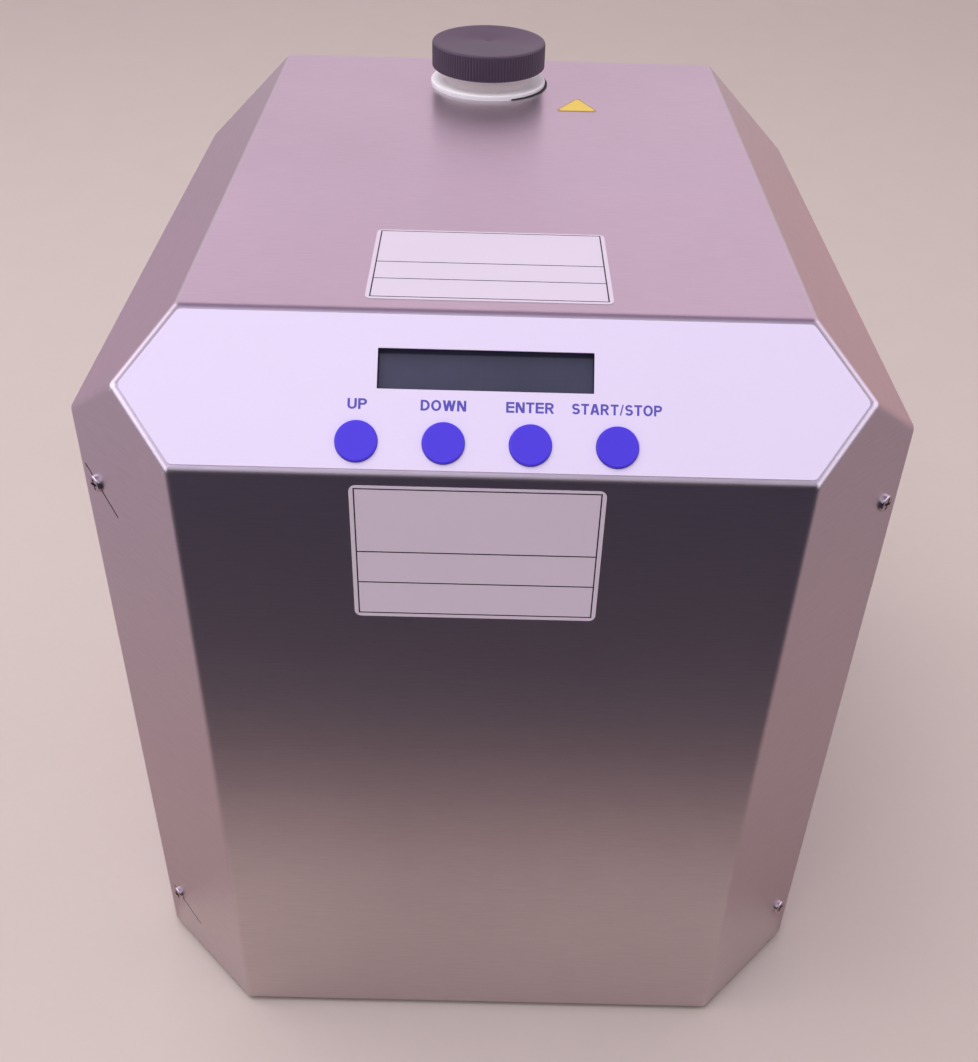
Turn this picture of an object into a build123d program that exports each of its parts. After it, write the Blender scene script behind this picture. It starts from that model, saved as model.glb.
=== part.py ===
from build123d import *
import math
import os

# Bench-top solid state chiller: a folded steel casing over a base tray, with a sloped control panel,
# a fill cap on top, and fans, hose fittings and a mains inlet at the back.
# Millimetres. +Z is up and the control panel looks towards -Y. The origin is the middle of the
# overall outline, on the surface that the feet stand on.

# Casing
casing_width = 273.0
casing_depth = 288.0
casing_height = 307.0
sheet = 1.5
corner_chamfer = 39.5
panel_chamfer = 36.5
fold_radius = 3.5
sheet_gap = 0.3
skirt_clearance = 3.0
foot_height = 6.0

# Control panel, measured up its slope from its lower edge
overlay_inset = 2.0
overlay_thickness = 0.5
overlay_corner = 2.0
window_width = 65.0
window_height = 12.6
window_x = -2.8
window_up = 32.8
window_margin = 1.0
button_radius = 6.35
button_pitch = 25.9
button_row_x = -2.0
button_up = 10.3
button_proud = 1.0
button_clearance = 0.25
button_flange = 1.3
button_flange_thickness = 1.0
button_travel = 0.8
button_edge = 0.5
stem_radius = 1.7
stem_engagement = 0.3

# Display and key switches on their board
board_thickness = 1.6
board_depth = 8.5
board_width = 130.0
board_height = 43.0
board_up = 26.5
bezel_width = 71.0
bezel_height = 26.0
bezel_recess = 1.0
bezel_edge = 0.4
glass_thickness = 1.4
glass_recess = 0.2
switch_side = 6.0
switch_height = 3.5
switch_hole_clearance = 0.3
spacer_radius = 2.5
spacer_pin_radius = 1.4
spacer_nut_radius = 2.8
spacer_nut_height = 2.0
spacer_margin = 5.0

# Fill neck and cap, centred behind the front face
neck_x = -5.0
neck_behind = 254.0
neck_radius = 19.5
neck_wall = 2.0
neck_flange_radius = 25.0
neck_flange_thickness = 1.5
neck_rim_height = 14.7
neck_fit = 0.3
gasket_thickness = 0.5
gasket_shift = 0.6
neck_nut_radius = 26.0
neck_nut_height = 6.0
neck_nut_gap = 0.1
cap_radius = 24.5
cap_skirt = 7.4
cap_wall = 2.2
cap_top_thickness = 2.2
cap_rib_count = 80
cap_rib_depth = 0.45
cap_edge = 0.9
cap_dimple_radius = 1.0
cap_dimple_depth = 0.4
liner_thickness = 1.2
liner_gap = 0.6

# Reservoir
tank_hose_gap = 46.0
tank_depth = 56.0
tank_wall = 3.0
tank_corner = 6.0
tank_headroom = 3.0
tank_fan_gap = 4.0
neck_dip = 8.0
tank_outlet_lift = 10.0
tank_return_drop = 18.0
tank_return_behind = 240.0
shelf_lip = 14.0

# Base tray, feet and posts
tray_wall_height = 14.0
foot_radius = 9.0
foot_taper = 0.8
foot_side_margin = 26.5
foot_front_behind = 50.0
foot_back_behind = 262.0
foot_screw_lift = 0.5
foot_nut_radius = 3.7
post_width = 20.0
post_edge = 4.0
post_return = 14.0
post_below_top = 54.0
screw_radius = 1.5
screw_hole_gap = 0.2
screw_head_radius = 3.2
screw_head_height = 1.4
screw_head_chamfer = 0.6
screw_length = 8.0
front_screw_edge = 8.8
front_screw_low = 28.0
front_screw_below_top = 65.0
side_screw_low = 45.0
side_screw_below_top = 55.0
slit_width = 0.8
slit_length = 21.4
slit_high_edge = 11.1
slit_high_below_top = 66.8
slit_high_angle = -40.0
slit_low_edge = 13.9
slit_low_height = 25.0
slit_low_angle = -25.0
panel_flange = 14.0

# Air slots in both sides of the casing
vent_length = 52.0
vent_height = 4.0
vent_pitch = 12.0
vent_top_margin = 48.0
vent_front_behind = 46.0
vent_bottom = 52.0

# Fans on the rear panel
fan_side = 119.0
fan_depth = 25.4
fan_spacing = 124.0
fan_centre_height = 167.0
fan_corner = 5.0
fan_bore = 57.5
fan_flange = 4.0
fan_screw_spread = 105.0
fan_screw_radius = 2.0
fan_hub_radius = 20.0
fan_hub_disc = 4.0
fan_strut_width = 5.0
fan_strut_count = 4
fan_blade_count = 7
fan_blade_thickness = 1.8
fan_blade_round = 0.6
fan_blade_chords = (17.0, 25.0, 33.0)
fan_blade_pitches = (42.0, 34.0, 26.0)
fan_tip_gap = 1.4
fan_hub_gap = 0.8
fan_hub_depth = 17.5
fan_hub_chamfer = 1.5
fan_shaft_radius = 2.5
fan_shaft_gap = 0.08
fan_shaft_inset = 0.5
grille_inner = 15.0
grille_slot = 7.0
grille_rib = 3.5
grille_rings = 4
grille_spoke = 5.0

# Cooling core: cold plate between two heat sinks, all in the fans' air stream
core_fan_gap = 6.1
core_length = 155.0
core_side_gap = 31.5
sink_base = 8.0
fin_height = 35.0
fin_thickness = 1.6
fin_count = 24
module_side = 62.0
module_plate = 1.0
module_height = 4.0
module_rim = 3.0
module_spacing_x = 96.0
module_spacing_y = 74.0
plate_thickness = 20.0
plate_inset = 5.0
clamp_radius = 2.0
clamp_head_radius = 3.2
clamp_head_height = 3.0
clamp_end = 18.6
hole_gap = 0.2
stand_flange = 15.0
stand_window_margin = 28.0

# Pump and hoses
pump_x = 36.0
pump_radius = 30.0
pump_axis_lift = 32.0
pump_head_depth = 30.0
pump_motor_radius = 24.0
pump_motor_length = 80.0
pump_nose_radius = 10.0
pump_front_behind = 118.0
pump_port_spread = 28.0
pump_bracket_width = 72.0
pump_bracket_foot = 30.0
pump_edge = 2.0
hose_wall = 1.5
hose_bend = 16.0
hose_reach = 36.0
barb_radius = 4.0
barb_root = 3.3
barb_bore = 2.3
barb_length = 14.0
barb_rings = 3
barb_rise = 0.35

# Rear fittings
supply_core_inset = 25.0
return_side_margin = 20.5
fitting_height = 82.0
fitting_hex_radius = 10.0
fitting_hex_length = 6.0
fitting_thread_radius = 6.0
fitting_thread_length = 12.0
fitting_nut_length = 5.0
outer_barb_length = 22.0

# Mains inlet with rocker switch and fuse drawer, measured from its middle
inlet_side_margin = 41.5
inlet_height = 60.0
inlet_face_width = 32.0
inlet_face_length = 70.0
inlet_face_thickness = 2.5
inlet_body_width = 27.0
inlet_body_length = 62.0
inlet_body_depth = 32.0
inlet_fit = 0.2
inlet_corner = 3.0
inlet_edge = 0.8
socket_width = 24.0
socket_length = 16.5
socket_corner = 4.5
socket_depth = 16.0
socket_centre = -17.2
pin_width = 2.0
pin_height = 4.0
pin_length = 14.0
pin_spread = 7.0
pin_rise = 2.0
pin_root = 4.0
drawer_width = 22.0
drawer_height = 8.4
drawer_depth = 25.0
drawer_centre = -1.0
drawer_gap = 0.3
drawer_proud = 1.0
drawer_travel = 20.0
drawer_notch = 5.0
fuse_radius = 2.6
fuse_length = 20.0
fuse_spread = 11.0
fuse_fit = 0.1
rocker_width = 12.4
rocker_length = 18.4
rocker_gap = 0.3
rocker_centre = 16.0
rocker_pivot_depth = 5.5
rocker_proud_end = 7.0
rocker_proud_middle = 6.0
rocker_back = 3.0
rocker_angle = 10.0
rocker_pin_radius = 1.2
rocker_pin_length = 0.8
rocker_well = 12.0

# Serial port
port_x = 0.0
port_height = 60.0
port_flange_width = 30.8
port_flange_height = 12.5
port_flange_thickness = 1.0
port_flange_corner = 2.0
port_shell_width = 16.9
port_shell_height = 8.4
port_shell_slope = 1.5
port_shell_length = 6.0
port_shell_wall = 0.5
port_shell_corner = 1.2
port_back_width = 19.0
port_back_height = 10.0
port_back_depth = 9.0
port_pin_radius = 0.55
port_pin_depth = 4.0
port_pin_pitch = 2.76
port_row_pitch = 2.84
port_screw_spacing = 25.0
port_screw_radius = 2.6
port_screw_length = 4.5
port_screw_shank = 1.4

# Electronics
supply_unit_width = 100.0
supply_unit_length = 183.0
supply_unit_height = 50.0
supply_unit_behind = 62.0
supply_unit_right = 0.0
supply_lip = 1.0
supply_ledge_depth = 18.0
supply_ledge_height = 22.0
control_board_width = 150.0
control_board_height = 110.0
control_board_lift = 78.0
control_board_gap = 5.0
standoff_radius = 3.0
standoff_margin = 7.0
bracket_width = 170.0
bracket_top = 206.0
bracket_hose_gap = 5.0
bracket_foot = 15.0
# Relays, transformer, connectors and processor: middle across and up, width, height and depth
board_parts = (
    (-50.0, 25.0, 28.0, 16.0, 16.0), (-50.0, -5.0, 28.0, 16.0, 16.0), (-15.0, 15.0, 20.0, 30.0, 12.0),
    (20.0, 28.0, 36.0, 8.0, 9.0), (20.0, -34.0, 80.0, 9.0, 10.0), (48.0, 5.0, 24.0, 34.0, 3.0),
)
capacitor_middles = ((-58.0, -32.0), (-45.0, -32.0), (-32.0, -32.0))
capacitor_radius = 5.0
capacitor_height = 14.0

# Worked out from the sizes above
rear_reach = fitting_hex_length + outer_barb_length
front_y = -(casing_depth + rear_reach) / 2
back_y = front_y + casing_depth
casing_bottom = foot_height - skirt_clearance
casing_top = casing_bottom + casing_height
floor_top = foot_height + sheet
inner_gap = sheet + sheet_gap
neck_y = front_y + neck_behind
fan_front_y = back_y - sheet - fan_depth
pump_z = floor_top + pump_axis_lift
pump_front_y = front_y + pump_front_behind
pump_back_y = pump_front_y + pump_head_depth
tank_floor = fan_centre_height + fan_side / 2 + tank_fan_gap
tank_top = casing_top - sheet - neck_nut_height - tank_headroom
tank_front_y = neck_y - tank_depth / 2
neck_rim = casing_top + neck_rim_height
cap_top = neck_rim + liner_thickness + cap_top_thickness
hose_radius = barb_radius + hose_wall
core_front_y = fan_front_y - core_fan_gap - core_length
plate_front_y = core_front_y + plate_inset
hose_bend_y = plate_front_y - hose_reach
bracket_y = hose_bend_y - hose_radius - bracket_hose_gap - sheet
core_width = casing_width - 2 * core_side_gap
foot_x = casing_width / 2 - foot_side_margin
supply_x = core_width / 2 - supply_core_inset
return_x = casing_width / 2 - return_side_margin
inlet_x = inlet_side_margin - casing_width / 2
tank_width = 2 * (return_x - tank_hose_gap - neck_x)
post_top = casing_top - post_below_top
front_screw_heights = (front_screw_low, casing_top - front_screw_below_top)
side_screw_top = casing_top - side_screw_below_top
side_screw_heights = (side_screw_low, (side_screw_low + side_screw_top) / 2, side_screw_top)
high_slit = (slit_high_edge, casing_top - slit_high_below_top, slit_high_angle)
low_slit = (slit_low_edge, slit_low_height, slit_low_angle)
vent_rise = casing_top - corner_chamfer - vent_top_margin - vent_bottom
vent_rows = int(vent_rise / vent_pitch) + 1
# Half heights of the cooling core, out to its bases, its fins' roots and its fins' tips
core_to_base = plate_thickness / 2 + module_height
core_to_fins = core_to_base + sink_base
core_to_tips = core_to_fins + fin_height
button_xs = [button_row_x + (i - 1.5) * button_pitch for i in range(4)]
button_names = ("up_button", "down_button", "enter_button", "start_stop_button")

# How much a 45 degree chamfer's leg shrinks for each millimetre that its walls move in
CHAMFER_SHRINK = 2 - math.sqrt(2)

LOW = (Align.CENTER, Align.CENTER, Align.MIN)
HIGH = (Align.CENTER, Align.CENTER, Align.MAX)

# Sloped control panel: local X across, Y up the slope, Z out of the face
panel = Plane(origin=(0, front_y, casing_top - panel_chamfer), x_dir=(1, 0, 0), z_dir=(0, -1, 1))
# Rear face: local X towards -X, Y up, Z out of the back
rear = Plane(origin=(0, back_y, 0), x_dir=(-1, 0, 0), z_dir=(0, 1, 0))
# Left front chamfer: local X in from the side's edge, Y up, Z out of the face
left_chamfer = Plane(
    origin=(-casing_width / 2, front_y + corner_chamfer, 0), x_dir=(1, -1, 0), z_dir=(-1, -1, 0)
)


def save(name, shape):
    """Write one sub-part to its own file."""
    export_step(shape, os.path.join("parts", name + ".step"))


def group(pieces):
    """Separate solids that share one file."""
    return Compound(children=list(pieces))


def block(x_from, x_to, y_from, y_to, z_from, z_to):
    """A box between two corners."""
    size = (x_to - x_from, y_to - y_from, z_to - z_from)
    middle = ((x_from + x_to) / 2, (y_from + y_to) / 2, (z_from + z_to) / 2)
    return Pos(*middle) * Box(*size)


def both_sides(shape):
    """A shape and its mirror image in the middle plane."""
    return [shape, mirror(shape, about=Plane.YZ)]


def pan_screw(radius, length, head_radius, head_height):
    """A screw along Z, with its head standing on the plane z = 0."""
    head = Cylinder(head_radius, head_height, align=LOW)
    head = chamfer(head.edges().group_by(Axis.Z)[-1], screw_head_chamfer)
    return head + Cylinder(radius, length, align=HIGH)


def casing_form(inset, back, bottom, radius):
    """The casing's form moved in by inset on every wall, down to bottom and out to back."""
    leg = corner_chamfer - inset * CHAMFER_SHRINK
    panel_leg = panel_chamfer - inset * CHAMFER_SHRINK
    half = casing_width / 2 - inset
    front = front_y + inset
    top = casing_top - inset
    plan = Polygon(
        (-half + leg, front), (half - leg, front), (half, front + leg),
        (half, back), (-half, back), (-half, front + leg), align=None,
    )
    end_view = Polygon(
        (-half, bottom), (half, bottom), (half, top - leg),
        (half - leg, top), (-half + leg, top), (-half, top - leg), align=None,
    )
    side_view = Polygon(
        (front, bottom), (back, bottom), (back, top),
        (front + panel_leg, top), (front, top - panel_leg), align=None,
    )
    form = Pos(0, 0, bottom) * extrude(plan, amount=top - bottom)
    form &= Pos(0, back, 0) * (Plane.XZ * extrude(end_view, amount=back - front))
    form &= Pos(-half, 0, 0) * (Plane.YZ * extrude(side_view, amount=2 * half))
    folds = [e for e in form.edges() if e.center().Y < back - 1 and e.center().Z > bottom + 1]
    return fillet(folds, radius)


def outer_cover():
    """Folded cover: front, sides, top and the chamfers between them."""
    cover = casing_form(0, back_y, casing_bottom, fold_radius)
    cover -= casing_form(sheet, back_y + 1, casing_bottom - 1, fold_radius - sheet)
    window = Box(window_width + 2 * window_margin, window_height + 2 * window_margin, 4 * sheet)
    cover -= panel * (Pos(window_x, window_up, 0) * window)
    for x in button_xs:
        cover -= panel * (Pos(x, button_up, 0) * Cylinder(button_radius + button_clearance, 4 * sheet))
    cover -= Pos(neck_x, neck_y, casing_top) * Cylinder(neck_radius + neck_fit, 4 * sheet)
    for cutter in both_sides(vent_cutters()):
        cover -= cutter
    for height in front_screw_heights:
        hole = left_chamfer * (
            Pos(front_screw_edge, height, 0) * Cylinder(screw_radius + screw_hole_gap, 4 * sheet)
        )
        for cutter in both_sides(hole):
            cover -= cutter
    for height in side_screw_heights:
        cover -= side_screw_place(height) * Cylinder(screw_radius + screw_hole_gap, casing_width * 3)
    for edge, height, angle in (high_slit, low_slit):
        slit = Rot(0, 0, angle) * Box(slit_length, slit_width, 4 * sheet)
        cover -= left_chamfer * (Pos(edge, height, 0) * slit)
    return cover


def vent_cutters():
    """The left side's air slots, as solids to cut away."""
    y = front_y + vent_front_behind + vent_length / 2
    side = Plane(origin=(-casing_width / 2, y, vent_bottom), x_dir=(0, -1, 0), z_dir=(-1, 0, 0))
    slot = extrude(SlotOverall(vent_length, vent_height), amount=2 * sheet, both=True)
    return side * Compound(children=[Pos(0, row * vent_pitch, 0) * slot for row in range(vent_rows)])


def side_screw_place(height):
    """Place of a screw in the left side, over the rear panel's flange."""
    y = back_y - sheet - panel_flange / 2
    return Plane(origin=(-casing_width / 2, y, height), x_dir=(0, -1, 0), z_dir=(-1, 0, 0)).location


def control_overlay():
    """Thin sheet on the sloped panel, with the window and the button holes."""
    length = panel_chamfer * math.sqrt(2)
    half = casing_width / 2 - corner_chamfer
    tip = casing_width / 2 - corner_chamfer + panel_chamfer / 2
    outline = Polygon(
        (-half, 0), (half, 0), (tip, length / 2), (half, length), (-half, length), (-tip, length / 2),
        align=None,
    )
    outline = offset(outline, -overlay_inset, kind=Kind.INTERSECTION)
    outline = fillet(outline.vertices(), overlay_corner)
    outline -= Pos(window_x, window_up) * Rectangle(window_width, window_height)
    for x in button_xs:
        outline -= Pos(x, button_up) * Circle(button_radius + button_clearance)
    return panel * extrude(outline, amount=overlay_thickness)


def button():
    """A button cap with its flange behind the panel and a stem down to its switch."""
    top = overlay_thickness + button_proud
    flange_top = -sheet
    stem_end = switch_height - board_depth - stem_engagement
    cap = Pos(0, 0, flange_top) * Cylinder(button_radius, top - flange_top, align=LOW)
    cap = fillet(cap.edges().group_by(Axis.Z)[-1], button_edge)
    flange = Cylinder(button_radius + button_flange, button_flange_thickness, align=HIGH)
    stem = Pos(0, 0, stem_end) * Cylinder(stem_radius, flange_top - stem_end, align=LOW)
    return cap + Pos(0, 0, flange_top) * flange + stem


def panel_board():
    """Circuit board behind the control panel."""
    board = Pos(window_x, board_up, -board_depth) * Box(
        board_width, board_height, board_thickness, align=HIGH
    )
    for place in spacer_places():
        board -= place * Cylinder(spacer_pin_radius + hole_gap, 4 * board_depth)
    return panel * board


def spacer_places():
    """The four corners where the board is held off the panel."""
    across = board_width - 2 * spacer_margin
    up = board_height - 2 * spacer_margin
    centre = Pos(window_x, board_up, 0)
    return [centre * place for place in GridLocations(across, up, 2, 2)]


def board_spacers():
    """Four studs on the panel's inner face, each with its nut behind the board."""
    stud_end = -board_depth - board_thickness - spacer_nut_height
    spacer = Pos(0, 0, -sheet) * Cylinder(spacer_radius, board_depth - sheet, align=HIGH)
    spacer += Pos(0, 0, stud_end) * Cylinder(spacer_pin_radius, board_depth, align=LOW)
    nut = extrude(RegularPolygon(spacer_nut_radius, 6), amount=spacer_nut_height)
    spacer += Pos(0, 0, stud_end) * nut
    return group(panel * (place * spacer) for place in spacer_places())


def display_bezel():
    """Metal-framed display body with a pocket for its glass."""
    top = -sheet - bezel_recess
    body = block(
        window_x - bezel_width / 2, window_x + bezel_width / 2,
        window_up - bezel_height / 2, window_up + bezel_height / 2, -board_depth, top,
    )
    body = chamfer(body.edges().group_by(Axis.Z)[-1], bezel_edge)
    return panel * (body - glass_block(glass_recess + 1))


def glass_block(above):
    """The display glass's space, run on outwards by the given height."""
    top = -sheet - bezel_recess - glass_recess
    half_width = window_width / 2 + window_margin
    half_height = window_height / 2 + window_margin + 1
    return block(
        window_x - half_width, window_x + half_width,
        window_up - half_height, window_up + half_height, top - glass_thickness, top + above,
    )


def key_switches():
    """Four push switches on the board, each with the well that its button's stem works in."""
    body = Pos(0, 0, -board_depth) * Box(switch_side, switch_side, switch_height, align=LOW)
    well = stem_engagement + button_travel + switch_hole_clearance
    top = switch_height - board_depth
    body -= Pos(0, 0, top) * Cylinder(stem_radius + switch_hole_clearance, well, align=HIGH)
    return group(panel * (Pos(x, button_up, 0) * body) for x in button_xs)


def fill_neck():
    """Filler neck with the white flange that lies on the casing."""
    bottom = tank_top - neck_dip
    flange_bottom = casing_top + gasket_thickness
    tube = Pos(0, 0, bottom) * Cylinder(neck_radius, neck_rim - bottom, align=LOW)
    flange = Pos(0, 0, flange_bottom) * Cylinder(neck_flange_radius, neck_flange_thickness, align=LOW)
    flange = fillet(flange.edges().group_by(Axis.Z)[-1], neck_flange_thickness * 0.6)
    hollow = Cylinder(neck_radius - neck_wall, 2 * (neck_rim - bottom), align=LOW)
    return Pos(neck_x, neck_y, 0) * (tube + flange - Pos(0, 0, bottom) * hollow)


def neck_gasket():
    """Rubber washer under the neck's flange, a little off centre as fitted."""
    ring = Cylinder(neck_flange_radius, gasket_thickness, align=LOW)
    ring -= Cylinder(neck_radius + neck_fit + gasket_shift, 3 * gasket_thickness)
    return Pos(neck_x + gasket_shift, neck_y, casing_top) * ring


def neck_nut():
    """Ring nut that holds the neck from under the casing."""
    nut = extrude(RegularPolygon(neck_nut_radius, 8), amount=-neck_nut_height)
    nut -= Cylinder(neck_radius + neck_nut_gap, 4 * neck_nut_height)
    return Pos(neck_x, neck_y, casing_top - sheet) * nut


def fill_cap():
    """Ribbed screw cap, with a small gate mark in the middle of its top."""
    bottom = casing_top + cap_skirt
    points = []
    for i in range(2 * cap_rib_count):
        radius = cap_radius if i % 2 else cap_radius - cap_rib_depth
        angle = math.pi * i / cap_rib_count
        points.append((radius * math.cos(angle), radius * math.sin(angle)))
    ribbed = Pos(0, 0, bottom) * extrude(Polygon(*points, align=None), amount=cap_top - bottom)
    lathe = Pos(0, 0, bottom) * Cylinder(cap_radius, cap_top - bottom, align=LOW)
    cap = ribbed & chamfer(lathe.edges().filter_by(GeomType.CIRCLE), cap_edge)
    hollow_top = cap_top - cap_top_thickness
    cap -= Pos(0, 0, bottom) * Cylinder(cap_radius - cap_wall, hollow_top - bottom, align=LOW)
    cap -= Pos(0, 0, cap_top) * Cone(0.2, cap_dimple_radius, cap_dimple_depth, align=HIGH)
    return Pos(neck_x, neck_y, 0) * cap


def cap_liner():
    """Sealing disc inside the cap, lying on the neck's rim."""
    disc = Cylinder(cap_radius - cap_wall - liner_gap, liner_thickness, align=LOW)
    return Pos(neck_x, neck_y, neck_rim) * disc


def barb(length):
    """A hose barb along Z from the plane z = 0, without its bore."""
    step = length / barb_rings
    points = [(0, 0), (barb_root, 0)]
    for ring in range(barb_rings):
        points.append((barb_radius, (ring + barb_rise) * step))
        points.append((barb_root, (ring + 1) * step))
    points.append((0, length))
    return revolve(Plane.XZ * Polygon(*points, align=None), axis=Axis.Z)


def bore(length):
    """The bore of a barb, from below z = 0 to past its end."""
    return Cylinder(barb_bore, 2 * length + 2)


def barb_towards(direction, x, y, z):
    """Location of a barb that starts at a point and runs in a direction."""
    return Plane(origin=(x, y, z), z_dir=direction).location


def tank_places():
    """Places of the reservoir's outlet, in its front, and its return, in its right end."""
    right = neck_x + tank_width / 2
    outlet = barb_towards((0, -1, 0), pump_x - pump_port_spread / 2, tank_front_y,
                          tank_floor + tank_outlet_lift)
    back = barb_towards((1, 0, 0), right, front_y + tank_return_behind, tank_top - tank_return_drop)
    return outlet, back


def reservoir_tank():
    """Moulded tank with a hole for the neck and two hose barbs."""
    height = tank_top - tank_floor
    outside = Box(tank_width, tank_depth, height)
    outside = fillet(outside.edges().filter_by(Axis.Z), tank_corner)
    inside = Box(tank_width - 2 * tank_wall, tank_depth - 2 * tank_wall, height - 2 * tank_wall)
    inside = fillet(inside.edges().filter_by(Axis.Z), tank_corner - tank_wall)
    tank = Pos(neck_x, neck_y, tank_floor + height / 2) * (outside - inside)
    tank -= Pos(neck_x, neck_y, tank_top) * Cylinder(neck_radius + neck_fit, 3 * tank_wall)
    for place in tank_places():
        tank += place * barb(barb_length)
    for place in tank_places():
        tank -= place * bore(barb_length)
    return tank


def tank_shelf():
    """Folded shelf on the rear panel that carries the reservoir."""
    half = tank_width / 2
    back = back_y - sheet
    plate = block(neck_x - half, neck_x + half, tank_front_y, back, tank_floor - sheet, tank_floor)
    lip = block(
        neck_x - half, neck_x + half, back - sheet, back, tank_floor - sheet, tank_floor + shelf_lip
    )
    return plate + lip


def base_tray():
    """Folded tray: a floor with a wall on each straight side and open chamfered corners."""
    half = casing_width / 2 - inner_gap
    leg = corner_chamfer - inner_gap * CHAMFER_SHRINK
    front = front_y + inner_gap
    back = back_y - sheet
    plan = Polygon(
        (-half + leg, front), (half - leg, front), (half, front + leg),
        (half, back), (-half, back), (-half, front + leg), align=None,
    )
    tray = Pos(0, 0, foot_height) * extrude(plan, amount=sheet)
    top = foot_height + tray_wall_height
    tray += block(-half + leg, half - leg, front, front + sheet, foot_height, top)
    tray += block(-half, half, back - sheet, back, foot_height, top)
    for wall in both_sides(block(-half, -half + sheet, front + leg, back, foot_height, top)):
        tray += wall
    for x, y in foot_places():
        tray -= Pos(x, y, 0) * Cylinder(clamp_radius + hole_gap, 4 * floor_top)
    return tray


def foot_places():
    """Where the four feet stand."""
    ys = (front_y + foot_front_behind, front_y + foot_back_behind)
    return [(x, y) for y in ys for x in (-foot_x, foot_x)]


def rubber_foot():
    """A tapered rubber foot with a well for its screw's head."""
    foot = Cone(foot_radius - foot_taper, foot_radius, foot_height, align=LOW)
    foot -= Cylinder(clamp_head_radius + hole_gap, clamp_head_height + foot_screw_lift, align=LOW)
    return foot - Cylinder(clamp_radius + hole_gap, 4 * foot_height)


def foot_screw():
    """A foot's screw, from its head in the well up to its nut on the tray."""
    head = Pos(0, 0, foot_screw_lift) * Cylinder(clamp_head_radius, clamp_head_height, align=LOW)
    length = floor_top + clamp_head_height + 1 - foot_screw_lift
    shank = Pos(0, 0, foot_screw_lift) * Cylinder(clamp_radius, length, align=LOW)
    nut = extrude(RegularPolygon(foot_nut_radius, 6), amount=clamp_head_height)
    return head + shank + Pos(0, 0, floor_top) * nut


def left_post():
    """Angle post behind the left chamfer, which the front screws hold on to."""
    inner = -sheet
    post = block(post_edge, post_edge + post_width, floor_top, post_top, inner - sheet, inner)
    end = post_edge + post_width
    post += block(end - sheet, end, floor_top, post_top, inner - post_return, inner)
    for height in front_screw_heights:
        post -= Pos(front_screw_edge, height, 0) * Cylinder(screw_radius, 8 * sheet)
    return left_chamfer * post


def front_cover_screws():
    """The four screws in the front chamfers."""
    screw = pan_screw(screw_radius, screw_length, screw_head_radius, screw_head_height)
    pieces = []
    for height in front_screw_heights:
        pieces += both_sides(left_chamfer * (Pos(front_screw_edge, height, 0) * screw))
    return group(pieces)


def side_cover_screws():
    """The six screws that hold the cover's sides to the rear panel's flanges."""
    screw = pan_screw(screw_radius, screw_length, screw_head_radius, screw_head_height)
    pieces = []
    for height in side_screw_heights:
        pieces += both_sides(side_screw_place(height) * screw)
    return group(pieces)


def fan_xs():
    """Middles of the left and right fans."""
    return (-fan_spacing / 2, fan_spacing / 2)


def fan_hole_places(x):
    """A fan's four screw places on the rear face."""
    centre = Pos(-x, fan_centre_height, 0)
    return [centre * place for place in GridLocations(fan_screw_spread, fan_screw_spread, 2, 2)]


def grille_sketch():
    """Rings of slots in front of a fan, parted by spokes."""
    rings = Sketch()
    for ring in range(grille_rings):
        inner = grille_inner + ring * (grille_slot + grille_rib)
        rings += Circle(inner + grille_slot) - Circle(inner)
    long_side = 3 * fan_bore
    bars = Rectangle(long_side, grille_spoke) + Rectangle(grille_spoke, long_side)
    return rings - Rot(0, 0, 45) * bars


def rear_panel():
    """Back plate with forward flanges, fan grilles and the connectors' holes."""
    half = casing_width / 2 - inner_gap
    leg = corner_chamfer - inner_gap * CHAMFER_SHRINK
    top = casing_top - inner_gap
    outline = Polygon(
        (-half, casing_bottom), (half, casing_bottom), (half, top - leg),
        (half - leg, top), (-half + leg, top), (-half, top - leg), align=None,
    )
    plate = rear * extrude(outline, amount=-sheet)
    flange_bottom = foot_height + tray_wall_height + 1
    flange = block(
        -half, -half + sheet, back_y - sheet - panel_flange, back_y - sheet, flange_bottom, top - leg
    )
    for height in side_screw_heights:
        flange -= side_screw_place(height) * Cylinder(screw_radius, 8 * sheet)
    for piece in both_sides(flange):
        plate += piece
    grille = extrude(grille_sketch(), amount=2 * sheet, both=True)
    for x in fan_xs():
        plate -= rear * (Pos(-x, fan_centre_height, 0) * grille)
        for place in fan_hole_places(x):
            plate -= rear * (place * Cylinder(fan_screw_radius + screw_hole_gap, 4 * sheet))
    for x in (supply_x, return_x):
        plate -= rear * (Pos(-x, fitting_height, 0) * Cylinder(fitting_thread_radius + hole_gap, 4 * sheet))
    body = Box(inlet_body_width + 2 * inlet_fit, inlet_body_length + 2 * inlet_fit, 4 * sheet)
    plate -= rear * (Pos(-inlet_x, inlet_height, 0) * body)
    port = Box(port_back_width + 2 * hole_gap, port_back_height + 2 * hole_gap, 4 * sheet)
    plate -= rear * (Pos(-port_x, port_height, 0) * port)
    for side in (-1, 1):
        hole = Pos(side * port_screw_spacing / 2 - port_x, port_height, 0)
        plate -= rear * (hole * Cylinder(port_screw_shank + hole_gap, 4 * sheet))
    return plate


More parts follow.
